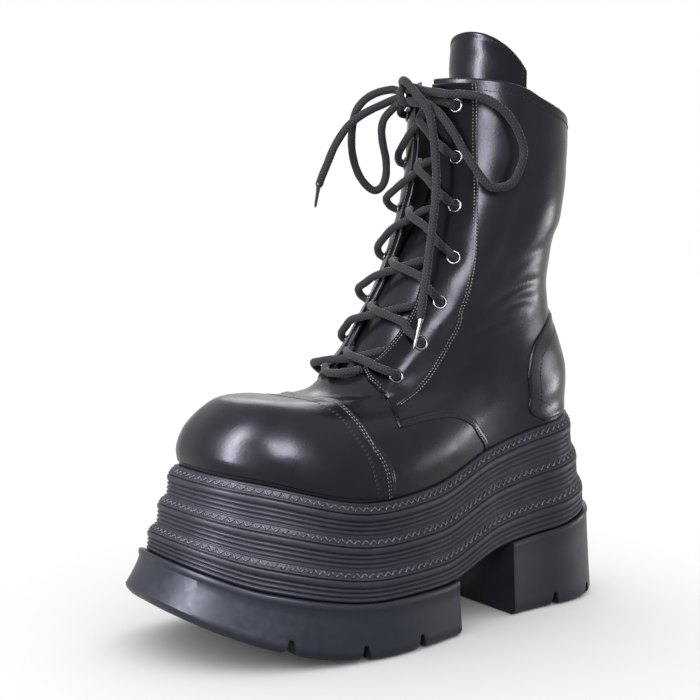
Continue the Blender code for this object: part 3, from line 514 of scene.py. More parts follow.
def swung(x, y):
    """x from the middle of the sole's width, with the toe swung towards the inner side."""
    return x - MIDDLE - TOE_SWING * toe_share(y) ** 2


def sole_outline(t, side, toe_inset, side_inset, heel_inset):
    """The sole's outline seen from above, drawn in by the three insets."""
    width = SOLE_LATERAL if side > 0 else SOLE_MEDIAL
    ends = (TOE_Y + toe_inset, HEEL_Y - heel_inset)
    widths = (width - side_inset, SOLE_SEAT - SEAT_SHARE * side_inset)
    x, y = half_ring(t, ends, (BALL_Y, SEAT_Y), widths, SOLE_POWERS, SOLE_WAIST)
    return swung(side * x, y), y


# Places round one side of the sole, closer together where it bends more
FINE_STEPS = np.concatenate([
    np.linspace(0, 0.04, 7)[:-1],
    np.linspace(0.04, SIDE_START, 62)[:-1],
    np.linspace(SIDE_START, SIDE_END, 40)[:-1],
    np.linspace(SIDE_END, 0.97, 46)[:-1],
    np.linspace(0.97, 1, 5),
])


def sole_ring(insets, height, steps=FINE_STEPS):
    """Ring round the sole: lateral side toe to heel, then medial heel to toe."""
    lateral = sole_outline(steps, 1, *insets)
    medial = sole_outline(steps[-2:0:-1], -1, *insets)
    x = np.concatenate([lateral[0], medial[0]])
    y = np.concatenate([lateral[1], medial[1]])
    return np.stack([x, y, height(y)], -1)


def sole_solid(name, rings, *finishes):
    """A closed body from rings; its flat faces join the two sides across."""
    count = len(rings[0])
    half = count // 2 + 1
    faces = []
    for level in range(len(rings) - 1):
        low = level * count
        for j in range(count):
            nxt = (j + 1) % count
            faces.append((low + j, low + nxt, low + count + nxt, low + count + j))
    for level in (0, len(rings) - 1):
        base = level * count
        for j in range(half - 1):
            near = (count - j) % count
            far = (count - j - 1) % count
            face = (base + j, base + j + 1, base + far, base + near)
            faces.append(tuple(dict.fromkeys(face)))
    mesh = bpy.data.meshes.new(name)
    mesh.from_pydata(np.concatenate(rings).tolist(), [], faces)
    face_outward(mesh)
    return link(name, mesh, *finishes)


UNDER_INSET = (0.41 * FLARE_TOE, 0.29 * FLARE_SIDE, 0.29 * FLARE_HEEL)
TOP_INSET = (FLARE_TOE, FLARE_SIDE, FLARE_HEEL)


def tier_insets(share_out, groove=0.0):
    """The three insets at a share of the way out to the foot."""
    return [a + (b - a) * share_out + groove for a, b in zip(TOP_INSET, UNDER_INSET)]


def tier_height(share_down):
    """Height over y, at a share of the way down the platform."""
    return lambda y: sole_height(y, 1) * (1 - share_down) + sole_height(y, 2) * share_down


# Section of a tier: share of the way down it, share of the way out, and a groove's depth there
TIER_SECTION = [
    (0.000, 0.00, 0.0006), (0.012, 0.06, 0.0002), (0.030, 0.13, 0.0), (0.055, 0.17, 0.0),
    (0.072, 0.19, 0.0003), (0.095, 0.25, 0.0004), (0.180, 0.47, 0.0004), (0.250, 0.65, 0.0004),
    (0.272, 0.71, 0.0001), (0.292, 0.745, 0.0), (0.312, 0.755, 0.0002), (0.322, 0.750, 0.0011),
    (0.338, 0.755, 0.0012), (0.350, 0.78, 0.0003), (0.372, 0.82, 0.0), (0.420, 0.84, -0.0001),
    (0.480, 0.84, -0.0001), (0.525, 0.83, 0.0), (0.545, 0.82, 0.0003), (0.556, 0.82, 0.0010),
    (0.572, 0.82, 0.0010),
]
FINE_RIBS = 3
RIBS_FROM = 0.572
RIB_PITCH = 0.143
RIB_STEP = 0.05
UNDER_LIP = 0.0012
for rib in range(FINE_RIBS):
    low = RIBS_FROM + RIB_PITCH * rib
    out = 0.85 + RIB_STEP * rib
    TIER_SECTION += [(low + 0.014, out, 0.0004), (low + 0.036, out, 0.0001), (low + 0.063, out, 0.0),
                     (low + 0.090, out, 0.0001), (low + 0.112, out, 0.0004)]
    if rib < FINE_RIBS - 1:
        TIER_SECTION += [(low + 0.125, out, 0.0009), (low + 0.138, out + 0.01, 0.0009)]

rings = []
for tier in range(TIERS):
    for down, out, groove in TIER_SECTION:
        rings.append(sole_ring(tier_insets((tier + out) / TIERS, groove), tier_height((tier + down) / TIERS)))
rings.append(sole_ring(tier_insets(1.0, UNDER_LIP), tier_height(1.0)))
platform = sole_solid("platform", rings, RUBBER)
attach(platform, "root")
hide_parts("midsole")

# Raised zigzag: a thread-like ridge moulded with the platform, of the same rubber, along the
# sloping band of each tier. It is a little glossier; lighter flecks in its colour are painted glints.
ZIGZAG_PERIOD = 0.0046
ZIGZAG_RADIUS = 0.00050
ZIGZAG_STEPS = np.array([0.02, 0.12, 0.5, 0.88, 0.98])
ZIGZAG_SECTION = np.array([0.5, 0.95, 1.0, 0.95, 0.5])

# Upper and lower edge of the band in a tier: share of the way out of it, and of the way down
ZIGZAG_EDGES = ((0.27, 0.105), (0.62, 0.240))
GLOSSY_RUBBER_PAINTED_GLINTS, tree, shader = new_finish("glossy_black_rubber_painted_glints", 0.4, 0.4)
glint_and_gloss_fleck = noise(tree, object_place(tree), 240.0, 3.0)
# Flecks of lighter colour on the dark rubber are painted glints; the gloss varies with them.
wire(tree, shader, two_tones(tree, glint_and_gloss_fleck, (0.003, 0.0032, 0.005), (0.016, 0.017, 0.023)),
     spread(tree, glint_and_gloss_fleck, 0.34, 0.50))


def joined_piece(name, pieces, *finishes):
    """One mesh from many small closed ones, each given as points and faces."""
    points = []
    faces = []
    base = 0
    for some_points, some_faces in pieces:
        points.append(some_points)
        faces += [tuple(base + k for k in face) for face in some_faces]
        base += len(some_points)
    mesh = bpy.data.meshes.new(name)
    mesh.from_pydata(np.concatenate(points).tolist(), [], faces)
    face_outward(mesh)
    return link(name, mesh, *finishes)


def strand(route, radii, around=6):
    """Points and faces of a short closed strand."""
    rings = swept(np.asarray(route, float), radii, around)[0]
    return rings.reshape(-1, 3), tube_faces(len(rings), around)


pieces = []
for tier in range(TIERS):
    edges = []
    for out, down in ZIGZAG_EDGES:
        edge = sole_ring(tier_insets((tier + out) / TIERS, 0.0003), tier_height((tier + down) / TIERS))
        edges.append(np.concatenate([edge, edge[:1]]))
    run = distances(edges[0])
    count = int(run[-1] / ZIGZAG_PERIOD) * 2
    where = np.linspace(0, run[-1], count + 1)
    high, low = (read_at(where, run, edge) for edge in edges)
    for k in range(count):
        ends = (high[k], low[k + 1]) if k % 2 == 0 else (low[k], high[k + 1])
        route = ends[0] + (ends[1] - ends[0]) * ZIGZAG_STEPS[:, None]
        pieces.append(strand(route, ZIGZAG_SECTION * ZIGZAG_RADIUS))
zigzag = joined_piece("platform_zigzag", pieces, GLOSSY_RUBBER_PAINTED_GLINTS)
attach(zigzag, "root")

# Treads: the forepart and the heel of harder black rubber, glued under the platform. Their
# sides flare to the ground under a small ledge, and tapered grooves leave lugs across them.
FOREPART_END = 0.0125
HEEL_FRONT = 0.0615
GROOVE_DEPTH = 0.0082
GROOVE_WIDTH = 0.0068
GROOVE_ROUND = 0.42
FOREPART_GROOVES = (-0.325, -0.193, -0.068)
HEEL_GROOVES = (0.325, 0.432)
LEDGE_INSET = (0.27 * FLARE_TOE, 0.15 * FLARE_SIDE, 0.15 * FLARE_HEEL)
LEDGE_DROP = 0.0043
GROUND_EDGE = 0.0042
END_BEVEL = 0.0009

# Section of the ledge: how far inside its outline, and how far under the platform
LEDGE_SECTION = ((0.0022, 0.0), (0.0010, 0.0), (0.0003, 0.0005), (-0.0001, 0.0014), (-0.0002, 0.0028),
                 (0.0, 0.0036), (0.0002, LEDGE_DROP))

TREAD, tree, shader = new_finish("hard_black_tread", 0.42, 0.28)
shader.inputs["Specular Tint"].default_value = (0.80, 0.84, 1.0, 1)
place = object_place(tree)
cloudy = noise(tree, place, 22.0, 5.0)
marks = noise(tree, place, 210.0, 4.0)
fine = noise(tree, place, 1600.0, 2.0)
wire(tree, shader, two_tones(tree, cloudy, (0.0020, 0.0024, 0.0040), (0.0040, 0.0046, 0.0072)),
     spread(tree, marks, 0.36, 0.50), bump(tree, fine, 0.00007, 0.4, bump(tree, marks, 0.00015, 0.2)))


def ground_height(y):
    """Underside of the tread, which rises towards the toe."""
    return TOE_SPRING * toe_share(y) ** 2


def tread_top(y):
    """Top of the tread, a hair under the platform."""
    return sole_height(y, 2) - GAP


def tread_rings():
    """The whole tread: a ledge at its top, a hollow flare, and a rounded edge at the ground."""
    ledge = np.array(LEDGE_INSET)
    rings = []
    for inset, drop in LEDGE_SECTION:
        rings.append(sole_ring(ledge + inset, lambda y, drop=drop: tread_top(y) - drop))
    for s in np.linspace(0.2, 0.9, 6):
        insets = ledge * (1 - s ** 1.15) + 0.0002 * (1 - s)
        rings.append(sole_ring(insets, lambda y, s=s: ((tread_top(y) - LEDGE_DROP) * (1 - s)
                                                       + (ground_height(y) + GROUND_EDGE) * s)))
    for angle in np.linspace(0, pi / 2, 6):
        inset = GROUND_EDGE * (1 - cos(angle))
        lift = GROUND_EDGE * (1 - sin(angle))
        rings.append(sole_ring((inset, inset, inset), lambda y, lift=lift: ground_height(y) + lift))
    return rings


def cutting_block(name, low_y, high_y):
    """A block that takes away all between two places along the sole."""
    bpy.ops.mesh.primitive_cube_add(size=1)
    block = bpy.context.object
    block.name = name
    block.scale = (SOLE_LENGTH, high_y - low_y, SOLE_LENGTH)
    block.location = (0, (low_y + high_y) / 2, 0)
    return block


def groove_bar(name, share):
    """A bar whose section is a rounded notch with flared lips, wider at the ground."""
    y = share * SOLE_LENGTH
    base = float(ground_height(np.array(y)))
    half = GROOVE_WIDTH / 2
    round_end = half * GROOVE_ROUND
    lips = ((0.0016, -0.002), (0.0010, 0.0), (0.0002, 0.0006), (-0.0004, 0.0016))
    section = [(half + wider, up) for wider, up in lips]
    for angle in np.linspace(0, pi / 2, 7):
        section.append((round_end * cos(angle), GROOVE_DEPTH - round_end * (1 - sin(angle))))
    section += [(-a, b) for a, b in section[-2::-1]]
    slope = -2 * TOE_SPRING * max(0.0, (BALL_Y - y)) / (BALL_Y - TOE_Y) ** 2
    points = [(x, y + a, base + b + slope * a) for x in (-0.1, 0.1) for a, b in section]
    n = len(section)
    faces = [(k, (k + 1) % n, n + (k + 1) % n, n + k) for k in range(n)]
    faces += [tuple(range(n))[::-1], tuple(range(n, 2 * n))]
    mesh = bpy.data.meshes.new(name)
    mesh.from_pydata(points, [], faces)
    face_outward(mesh)
    bar = bpy.data.objects.new(name, mesh)
    bpy.context.scene.collection.objects.link(bar)
    return bar


def cut_away(piece, cutters, solver="EXACT"):
    """Cuts the cutters out of the piece for good, and deletes them."""
    for cutter in cutters:
        boolean = piece.modifiers.new(cutter.name, "BOOLEAN")
        boolean.operation = "DIFFERENCE"
        boolean.object = cutter
        boolean.solver = solver
    bpy.context.view_layer.update()
    evaluated = piece.evaluated_get(bpy.context.evaluated_depsgraph_get())
    mesh = bpy.data.meshes.new_from_object(evaluated)
    piece.modifiers.clear()
    piece.data = mesh
    for cutter in cutters:
        bpy.data.objects.remove(cutter)


def soften_edges(piece, angle=30):
    """Smooth shading, but for edges sharper than the angle."""
    piece.data.shade_smooth()
    piece.data.set_sharp_from_angle(angle=radians(angle))


for name, node, block, shares in (
    ("tread_forepart", "outsole_forefoot", (FOREPART_END, SOLE_LENGTH), FOREPART_GROOVES),
    ("tread_heel", "outsole_heel", (-SOLE_LENGTH, HEEL_FRONT), HEEL_GROOVES),
):
    tread = sole_solid(name, tread_rings(), TREAD)
    bars = [groove_bar("%s_groove_%d" % (name, k), share) for k, share in enumerate(shares)]
    cut_away(tread, [cutting_block(name + "_end", *block)] + bars)
    work = bmesh.new()
    work.from_mesh(tread.data)
    bmesh.ops.dissolve_degenerate(work, edges=work.edges, dist=1e-6)
    sharp = [edge for edge in work.edges
             if len(edge.link_faces) == 2 and edge.calc_face_angle() > radians(50)]
    bmesh.ops.bevel(work, geom=sharp, offset=END_BEVEL, segments=3, profile=0.5, affect="EDGES",
                    clamp_overlap=True)
    work.to_mesh(tread.data)
    work.free()
    soften_edges(tread)
    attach(tread, "root")
    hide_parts(node)

# Footbed: a thin board covered in black lining leather. It lies on the platform in the boot,
# clear of the upper's wall all the way round.
UPPER_INSET = 0.0015
UPPER_WALL = 0.0022
FOOTBED_CLEARANCE = 0.0012

# Section of the footbed: how far in from its edge, and how high
FOOTBED_SECTION = ((0.0006, 0.0), (0.0, 0.0005), (0.0, 0.0022), (0.0004, 0.0027), (0.0012, 0.0030),
                   (0.006, 0.0030), (0.014, 0.0027))

LINING, tree, shader = new_finish("black_lining_leather", 0.68, 0.3)
place = object_place(tree)
worn = noise(tree, place, 34.0, 4.0)
pores = add_node(tree, "ShaderNodeTexVoronoi", {"Vector": place, "Scale": 1300.0}).outputs["Distance"]
wire(tree, shader, two_tones(tree, worn, (0.012, 0.012, 0.015), (0.020, 0.020, 0.024)),
     spread(tree, worn, 0.6, 0.78), bump(tree, pores, 0.00012, 0.5, bump(tree, worn, 0.0006, 0.3)))

inset = UPPER_INSET + UPPER_WALL + FOOTBED_CLEARANCE
rings = []
for draw_in, lift in FOOTBED_SECTION:
    insets = [flare + inset + draw_in for flare in TOP_INSET]
    rings.append(sole_ring(insets, lambda y, lift=lift: sole_height(y, 1) + GAP + lift))
footbed = sole_solid("footbed", rings, LINING)
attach(footbed, "root")
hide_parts("insole")

# Upper: vamp and quarters of smooth black cowhide with a low shine, lasted over a form and
# open at the collar and the throat. Its edges are turned and rounded; the lining is inside.
UPPER_LENGTH = SOLE_LENGTH - FLARE_TOE - FLARE_HEEL - UPPER_INSET / 2
UPPER_WIDTH = 0.0992
EDGE_ROUND = 0.0012
UPPER_RISE = 0.227
UPPER_TOE = TOE_Y + FLARE_TOE + UPPER_INSET
BALL_HEIGHT = float(sole_height(np.array(BALL_Y), 1))
THROAT_BASE = 0.54
THROAT_ROUND = 0.030

# Rings of the last above the feather edge. Lengths start at the toe of the upper, heights at
# the platform under the ball: front y and z, ball y, z, lateral and medial half widths,
# seat y, z, lateral and medial half widths, back y and z, squareness of front and back.
LAST_RINGS = (
    (-0.003, 0.115, 0.318, 0.044, 0.570, 0.454, 0.798, 0.154, 0.338, 0.338, 1.001, 0.189, 2.50, 2.30),
    (0.014, 0.163, 0.318, 0.088, 0.554, 0.444, 0.794, 0.194, 0.343, 0.343, 1.005, 0.229, 2.50, 2.30),
    (0.050, 0.204, 0.322, 0.132, 0.509, 0.408, 0.790, 0.233, 0.343, 0.343, 1.005, 0.269, 2.45, 2.25),
    (0.088, 0.228, 0.335, 0.172, 0.449, 0.363, 0.782, 0.269, 0.343, 0.343, 0.997, 0.308, 2.35, 2.20),
    (0.143, 0.232, 0.355, 0.200, 0.378, 0.318, 0.770, 0.300, 0.343, 0.343, 0.983, 0.348, 2.20, 2.20),
    (0.221, 0.220, 0.383, 0.222, 0.338, 0.292, 0.757, 0.330, 0.343, 0.343, 0.967, 0.388, 2.10, 2.15),
    (0.294, 0.224, 0.428, 0.250, 0.323, 0.287, 0.745, 0.366, 0.348, 0.348, 0.957, 0.427, 2.10, 2.10),
    (0.355, 0.268, 0.485, 0.304, 0.323, 0.297, 0.737, 0.405, 0.353, 0.353, 0.950, 0.467, 2.10, 2.10),
    (0.414, 0.335, 0.546, 0.361, 0.333, 0.318, 0.737, 0.449, 0.363, 0.363, 0.946, 0.511, 2.10, 2.10),
    (0.469, 0.427, 0.611, 0.436, 0.353, 0.343, 0.749, 0.502, 0.378, 0.378, 0.948, 0.559, 2.10, 2.10),
    (0.522, 0.524, 0.672, 0.524, 0.383, 0.373, 0.770, 0.573, 0.398, 0.398, 0.954, 0.621, 2.10, 2.10),
    (0.568, 0.639, 0.725, 0.630, 0.413, 0.408, 0.794, 0.652, 0.423, 0.423, 0.963, 0.652, 2.10, 2.10),
    (0.597, 0.758, 0.753, 0.744, 0.433, 0.433, 0.806, 0.744, 0.439, 0.439, 0.973, 0.727, 2.10, 2.10),
    (0.607, 0.877, 0.761, 0.859, 0.439, 0.439, 0.810, 0.846, 0.444, 0.444, 0.979, 0.811, 2.10, 2.10),
    (0.611, 1.000, 0.761, 0.971, 0.439, 0.439, 0.810, 0.949, 0.444, 0.444, 0.981, 0.899, 2.10, 2.10),
)
# Edges of the throat: place up the last, and the place round it on each side
THROAT_EDGE = (
    (0.540, 0.120, 0.090),
    (0.580, 0.198, 0.110),
    (0.650, 0.225, 0.115),
    (0.733, 0.172, 0.090),
    (0.800, 0.105, 0.085),
    (0.853, 0.065, 0.070),
    (0.905, 0.045, 0.060),
    (1.000, 0.035, 0.055),
)
# Soft troughs and ridges of the leather: depth and width in metres, then the places on the
# last that the crease runs through
CREASES = (
    (0.0007, 0.0040, ((0.560, 0.60), (0.575, 0.66), (0.560, 0.73))),
    (0.0006, 0.0034, ((0.620, 0.58), (0.632, 0.66), (0.622, 0.76))),
    (0.0006, 0.0045, ((0.700, 0.60), (0.715, 0.70), (0.700, 0.82))),
    (0.0005, 0.0030, ((0.520, 0.56), (0.528, 0.62), (0.520, 0.68))),
    (0.0007, 0.0040, ((0.560, -0.56), (0.575, -0.66), (0.560, -0.75))),
    (0.0006, 0.0036, ((0.640, -0.50), (0.652, -0.62), (0.640, -0.76))),
    (0.0005, 0.0040, ((0.455, 0.30), (0.470, 0.20), (0.475, 0.10))),
    (0.0005, 0.0040, ((0.462, -0.30), (0.478, -0.20), (0.482, -0.08))),
)

LEATHER, tree, shader = new_finish("smooth_black_leather", 0.30, 0.20)
shader.inputs["Specular Tint"].default_value = (0.84, 0.83, 1.0, 1)
place = object_place(tree)
tone = noise(tree, place, 18.0, 4.0)
patch = noise(tree, place, 75.0, 5.0)
pebble = add_node(tree, "ShaderNodeTexVoronoi", {"Vector": place, "Scale": 900.0},
                  feature="SMOOTH_F1").outputs["Distance"]
fine = noise(tree, place, 2400.0, 2.0)
grained = bump(tree, fine, 0.00003, 0.4, bump(tree, pebble, 0.00009, 0.35, bump(tree, tone, 0.0012, 0.18)))
wire(tree, shader, two_tones(tree, tone, (0.0015, 0.0015, 0.0022), (0.0030, 0.0030, 0.0042)),
     spread(tree, patch, 0.22, 0.33), grained)


def feather_ring(t, side):
    """The upper's lower edge, which stands on the platform just inside its rim."""
    insets = [flare + UPPER_INSET for flare in TOP_INSET]
    x, y = sole_outline(t, side, *insets)
    return np.stack([x, y, sole_height(y, 1) + GAP + 0.0001], -1)


def last_ring(row, t, side):
    """One ring of the last, as points for the given places on one side."""
    front, rear = (UPPER_TOE + row[k] * UPPER_LENGTH for k in (0, 10))
    ball, seat = (UPPER_TOE + row[k] * UPPER_LENGTH for k in (2, 6))
    widths = (row[4], row[8]) if side > 0 else (row[5], row[9])
    widths = [width * UPPER_WIDTH for width in widths]
    x, y = half_ring(t, (front, rear), (ball, seat), widths, row[12:14])
    heights = [BALL_HEIGHT + row[k] * UPPER_RISE for k in (1, 3, 7, 11)]
    z = smooth_line([front - 1e-6, ball, seat, rear + 1e-6], heights, y)
    return np.stack([swung(side * x, y), y, z], -1)


def last_points(u, w):
    """The last's outer surface: u runs up from 0 to 1, and w round it from -1 to 1.

    w is 0 at the front, positive on the lateral side, and 1 or -1 at the back.
    """
    u, w = np.broadcast_arrays(np.asarray(u, float), np.asarray(w, float))
    w = (w + 1) % 2 - 1
    t = np.abs(w)
    both = []
    for side in (1, -1):
        both.append(np.stack([feather_ring(t, side)] + [last_ring(row, t, side) for row in LAST_RINGS]))
    stack = np.where((w >= 0)[None, ..., None], both[0], both[1])
    count = len(stack)
    q = np.clip(u * (count - 1), 0, count - 1 - 1e-9)
    k = q.astype(int)
    f = (q - k)[..., None]

    def pick(index):
        index = np.clip(index, 0, count - 1)[None, ..., None].repeat(3, -1)
        return np.take_along_axis(stack, index, 0)[0]

    before, low, high, after = pick(k - 1), pick(k), pick(k + 1), pick(k + 2)
    start = np.where((k > 0)[..., None], (high - before) / 2, high - low)
    end = np.where((k < count - 2)[..., None], (after - low) / 2, high - low)
    blend = (2 * f**3 - 3 * f**2 + 1) * low + (f**3 - 2 * f**2 + f) * start
    return blend + (3 * f**2 - 2 * f**3) * high + (f**3 - f**2) * end


def last_slopes(u, w, step=0.006):
    """Change of the last's surface along u and along w."""
    u, w = np.broadcast_arrays(np.asarray(u, float), np.asarray(w, float))
    low, high = np.clip(u - step, 0, 1), np.clip(u + step, 0, 1)
    per_u = (last_points(high, w) - last_points(low, w)) / (high - low)[..., None]
    per_w = (last_points(u, w + step) - last_points(u, w - step)) / (2 * step)
    return per_u, per_w


def last_normals(u, w):
    """Outward directions of the last's surface."""
    per_u, per_w = last_slopes(u, w)
    normal = np.cross(per_w, per_u)
    return normal / np.linalg.norm(normal, axis=-1, keepdims=True)


CREASE_LINES = []
for depth, width, stops in CREASES:
    stops = np.array(stops)
    line = smooth_route(last_points(stops[:, 0], stops[:, 1]), 15)
    CREASE_LINES.append((depth, width, line))


def relief(points):
    """Height of the leather over the last: creases and a faint unevenness."""
    flat = points.reshape(-1, 3)
    total = np.zeros(len(flat))
    for depth, width, line in CREASE_LINES:
        away = np.linalg.norm(flat[:, None, :] - line[None, :, :], axis=-1)
        nearest = away.argmin(1)
        gap = away.min(1) / width
        fade = np.sin(pi * (nearest + 0.5) / len(line)) ** 0.7
        total -= depth * fade * (1 - 0.8 * gap**2) * np.exp(-gap**2 / 1.3)
    x, y, z = flat.T
    total += 0.00022 * np.sin(x * 95 + 1.3) * np.sin(y * 83 + z * 40)
    total += 0.00016 * np.sin(y * 160 - z * 120 + 0.7) * np.sin(z * 150 + x * 60)
    return total.reshape(points.shape[:-1])


def raised(u, w, lift):
    """Points at a height above the leather."""
    base = last_points(u, w)
    return base + (np.asarray(lift) + relief(base))[..., None] * last_normals(u, w)


def table_line(table, column, u):
    """A smooth line through one column of a table, over its first."""
    return smooth_line([row[0] for row in table], [row[column] for row in table], u)


def away_from(edge, points):
    """Distance from each of the points to the nearest point of an edge."""
    found = kdtree.KDTree(len(edge))
    for k, point in enumerate(edge):
        found.insert(point, k)
    found.balance()
    return np.array([found.find(point)[2] for point in points.reshape(-1, 3)]).reshape(points.shape[:-1])


def edge_share(points, edge, radius):
    """0 on the edge and 1 further in, on a quarter circle of the given radius."""
    s = np.clip(away_from(edge, points) / radius, 0, 1)
    return np.sqrt(1 - (1 - s) ** 2)


def wall_piece(name, outer, inner, *finishes):
    """A closed wall between two grids; rows run up, columns run round to the left."""
    rows, columns = outer.shape[:2]
    i, j = np.meshgrid(np.arange(rows - 1), np.arange(columns - 1), indexing="ij")
    a = (i * columns + j).ravel()
    quads = np.stack([a, a + 1, a + columns + 1, a + columns], 1)
    far = rows * columns
    inside = np.stack([a, a + columns, a + columns + 1, a + 1], 1) + far
    rim = []
    for j in range(columns - 1):
        top = (rows - 1) * columns + j
        rim.append((j, far + j, far + j + 1, j + 1))
        rim.append((top, top + 1, far + top + 1, far + top))
    for i in range(rows - 1):
        first = i * columns
        last = first + columns - 1
        gaps = (outer[i, 0] - outer[i, -1], outer[i + 1, 0] - outer[i + 1, -1])
        if max(float(np.abs(gap).max()) for gap in gaps) < 1e-6:
            continue
        rim.append((first, first + columns, far + first + columns, far + first))
        rim.append((last, far + last, far + last + columns, last + columns))
    faces = quads.tolist() + inside.tolist() + rim
    mesh = bpy.data.meshes.new(name)
    mesh.from_pydata(np.concatenate([outer, inner]).reshape(-1, 3).tolist(), [], faces)
    if len(finishes) > 1:
        lined = np.zeros(len(faces), int)
        lined[len(quads):2 * len(quads)] = 1
        mesh.polygons.foreach_set("material_index", lined)
    work = bmesh.new()
    work.from_mesh(mesh)
    bmesh.ops.remove_doubles(work, verts=work.verts, dist=2e-6)
    bmesh.ops.dissolve_degenerate(work, edges=work.edges, dist=1e-7)
    work.to_mesh(mesh)
    work.free()
    return link(name, mesh, *finishes)


def fine_line(points, spacing=0.0004):
    """The same line with its points close together."""
    run = distances(points)
    return read_at(np.linspace(0, run[-1], max(2, int(run[-1] / spacing))), run, points)


def throat_opening(u):
    """Share of the throat's width that is open at u: its foot is a round arch."""
    return np.sqrt(np.clip(1 - (1 - np.clip((u - THROAT_BASE) / THROAT_ROUND, 0, 1)) ** 2, 0, 1))


# Grid of the upper: close rows at the throat's foot and at the collar, where the edge rounds
foot_curve = np.linspace(0, pi / 2, 10)
u_rows = np.concatenate([
    np.linspace(0, 0.53, 52),
    [0.534, 0.537, 0.539],
    THROAT_BASE + THROAT_ROUND * (1 - np.cos(foot_curve)),
    np.linspace(0.574, 0.990, 52),
    [0.9935, 0.9960, 0.9978, 0.9990, 0.9997, 1.0],
])
near_edge = np.array([0, 0.00012, 0.0004, 0.0008, 0.0013])
inner_share = np.concatenate([
    np.linspace(0, SIDE_START, 46)[1:-1],
    np.linspace(SIDE_START, SIDE_END, 20)[:-1],
    np.linspace(SIDE_END, 1, 40),
])


def half_columns(side):
    """Places round one half of each row, close together beside the throat's edge."""
    column = 1 if side > 0 else 2
    edge = table_line(THROAT_EDGE, column, u_rows) * throat_opening(u_rows)
    rows = []
    for u, start in zip(u_rows, edge):
        span = np.linalg.norm(last_slopes(np.array([u]), np.array([side * (start + 0.02)]))[1][0])
        close = near_edge / span / (1 - start)
        shares = np.concatenate([close, inner_share[inner_share > close[-1] + 0.004]])
        rows.append(start + (1 - start) * shares)
    shortest = min(len(row) for row in rows)
    return np.array([np.interp(np.linspace(0, 1, shortest), np.linspace(0, 1, len(row)), row)
                     if len(row) > shortest else row for row in rows])


lateral, medial = half_columns(1), half_columns(-1)
w_rows = np.concatenate([lateral, 2 - medial[:, -2::-1]], 1)
w_rows[w_rows >= 1.9999999] = 0.0
u_grid = np.broadcast_to(u_rows[:, None], w_rows.shape)
skin = last_points(u_grid, w_rows)
opened = u_rows >= THROAT_BASE
rim_line = np.concatenate([skin[opened][::-1, 0], skin[opened][:, -1]])
collar_line = skin[-1]
share = edge_share(skin, np.concatenate([fine_line(rim_line), fine_line(collar_line)]), EDGE_ROUND)
middle = -UPPER_WALL / 2
outer = raised(u_grid, w_rows, middle + share * UPPER_WALL / 2)
inner = raised(u_grid, w_rows, middle - share * UPPER_WALL / 2)
upper = wall_piece("upper_leather", outer, inner, LEATHER, LINING)
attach(upper, "root")
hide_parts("upper")

# Panels laid on the upper: eyestays, heel counter, toe cap and the folded vamp edges. Each is
# the same leather, skived thin, its edge turned under and stitched down.
OVERLAY = 0.0013
PUFF = 0.0009
THINNED_BY = 0.0008
THIN_FROM = 0.3
SEAT_REACH = 0.008
THROAT_START = 0.545
THROAT_BLEND = 0.02
BACK_FROM_THROAT = 0.0015
COUNTER_THICKNESS = 0.0011
CAP_THICKNESS = 0.0005

# Lines on the upper: place up the last, then the place round it, and on the inner side where
# that is another one
EYESTAY_FRONT = (
    (0.234, 0.519, 0.519),
    (0.324, 0.514, 0.513),
    (0.368, 0.510, 0.507),
    (0.392, 0.5065, 0.501),
    (0.408, 0.502, 0.494),
    (0.430, 0.485, 0.472),
    (0.452, 0.443, 0.425),
    (0.484, 0.360, 0.338),
    (0.516, 0.257, 0.232),
    (0.548, 0.168, 0.120),
)
EYESTAY_BACK = (
    (0.234, 0.5215),
    (0.282, 0.5195),
    (0.324, 0.5190),
    (0.350, 0.5240),
    (0.390, 0.5325),
    (0.456, 0.5405),
    (0.540, 0.5410),
    (0.622, 0.527),
    (0.674, 0.488),
    (0.712, 0.446),
    (0.754, 0.394),
    (0.794, 0.344),
    (0.836, 0.306),
    (0.904, 0.268),
    (0.958, 0.259),
    (1.000, 0.255),
)
EYELETS = (
    (0.507, 0.432, 0.340),
    (0.598, 0.395, 0.290),
    (0.678, 0.345, 0.265),
    (0.752, 0.290, 0.245),
    (0.825, 0.210, 0.225),
    (0.892, 0.178, 0.210),
    (0.962, 0.165, 0.200),
)
TOE_CAP_EDGE = (
    (0.012, 0.511),
    (0.084, 0.511),
    (0.150, 0.507),
    (0.206, 0.502),
    (0.272, 0.486),
    (0.344, 0.431),
    (0.400, 0.334),
    (0.436, 0.235),
    (0.453, 0.100),
)
COUNTER_EDGE = (
    (0.012, 0.635),
    (0.207, 0.636),
    (0.300, 0.655),
    (0.370, 0.690),
    (0.420, 0.760),
    (0.455, 0.860),
    (0.470, 0.970),
)
WING_LINE = (
    (0.234, 0.5190),
    (0.232, 0.534),
    (0.216, 0.550),
    (0.196, 0.560),
    (0.176, 0.566),
    (0.148, 0.572),
    (0.116, 0.577),
    (0.076, 0.581),
    (0.044, 0.581),
    (0.014, 0.578),
    (0.002, 0.576),
)


def shifted(u, w, distance, steps=5):
    """A line on the last, moved sideways over it, to the right of its own direction."""
    u, w = np.array(u, float), np.array(w, float)
    for _ in range(steps):
        points = last_points(u, w)
        per_u, per_w = last_slopes(u, w)
        normal = np.cross(per_w, per_u)
        along = np.gradient(points, axis=0)
        sideways = np.cross(along, normal)
        sideways /= np.linalg.norm(sideways, axis=-1, keepdims=True)
        sideways = sideways * (distance / steps)
        uu, ww, uw = (per_u * per_u).sum(-1), (per_w * per_w).sum(-1), (per_u * per_w).sum(-1)
        pu, pw = (sideways * per_u).sum(-1), (sideways * per_w).sum(-1)
        under = uu * ww - uw**2
        u = np.clip(u + (pu * ww - pw * uw) / under, 0.0, 1.0)
        w = w + (pw * uu - pu * uw) / under
    return u, w


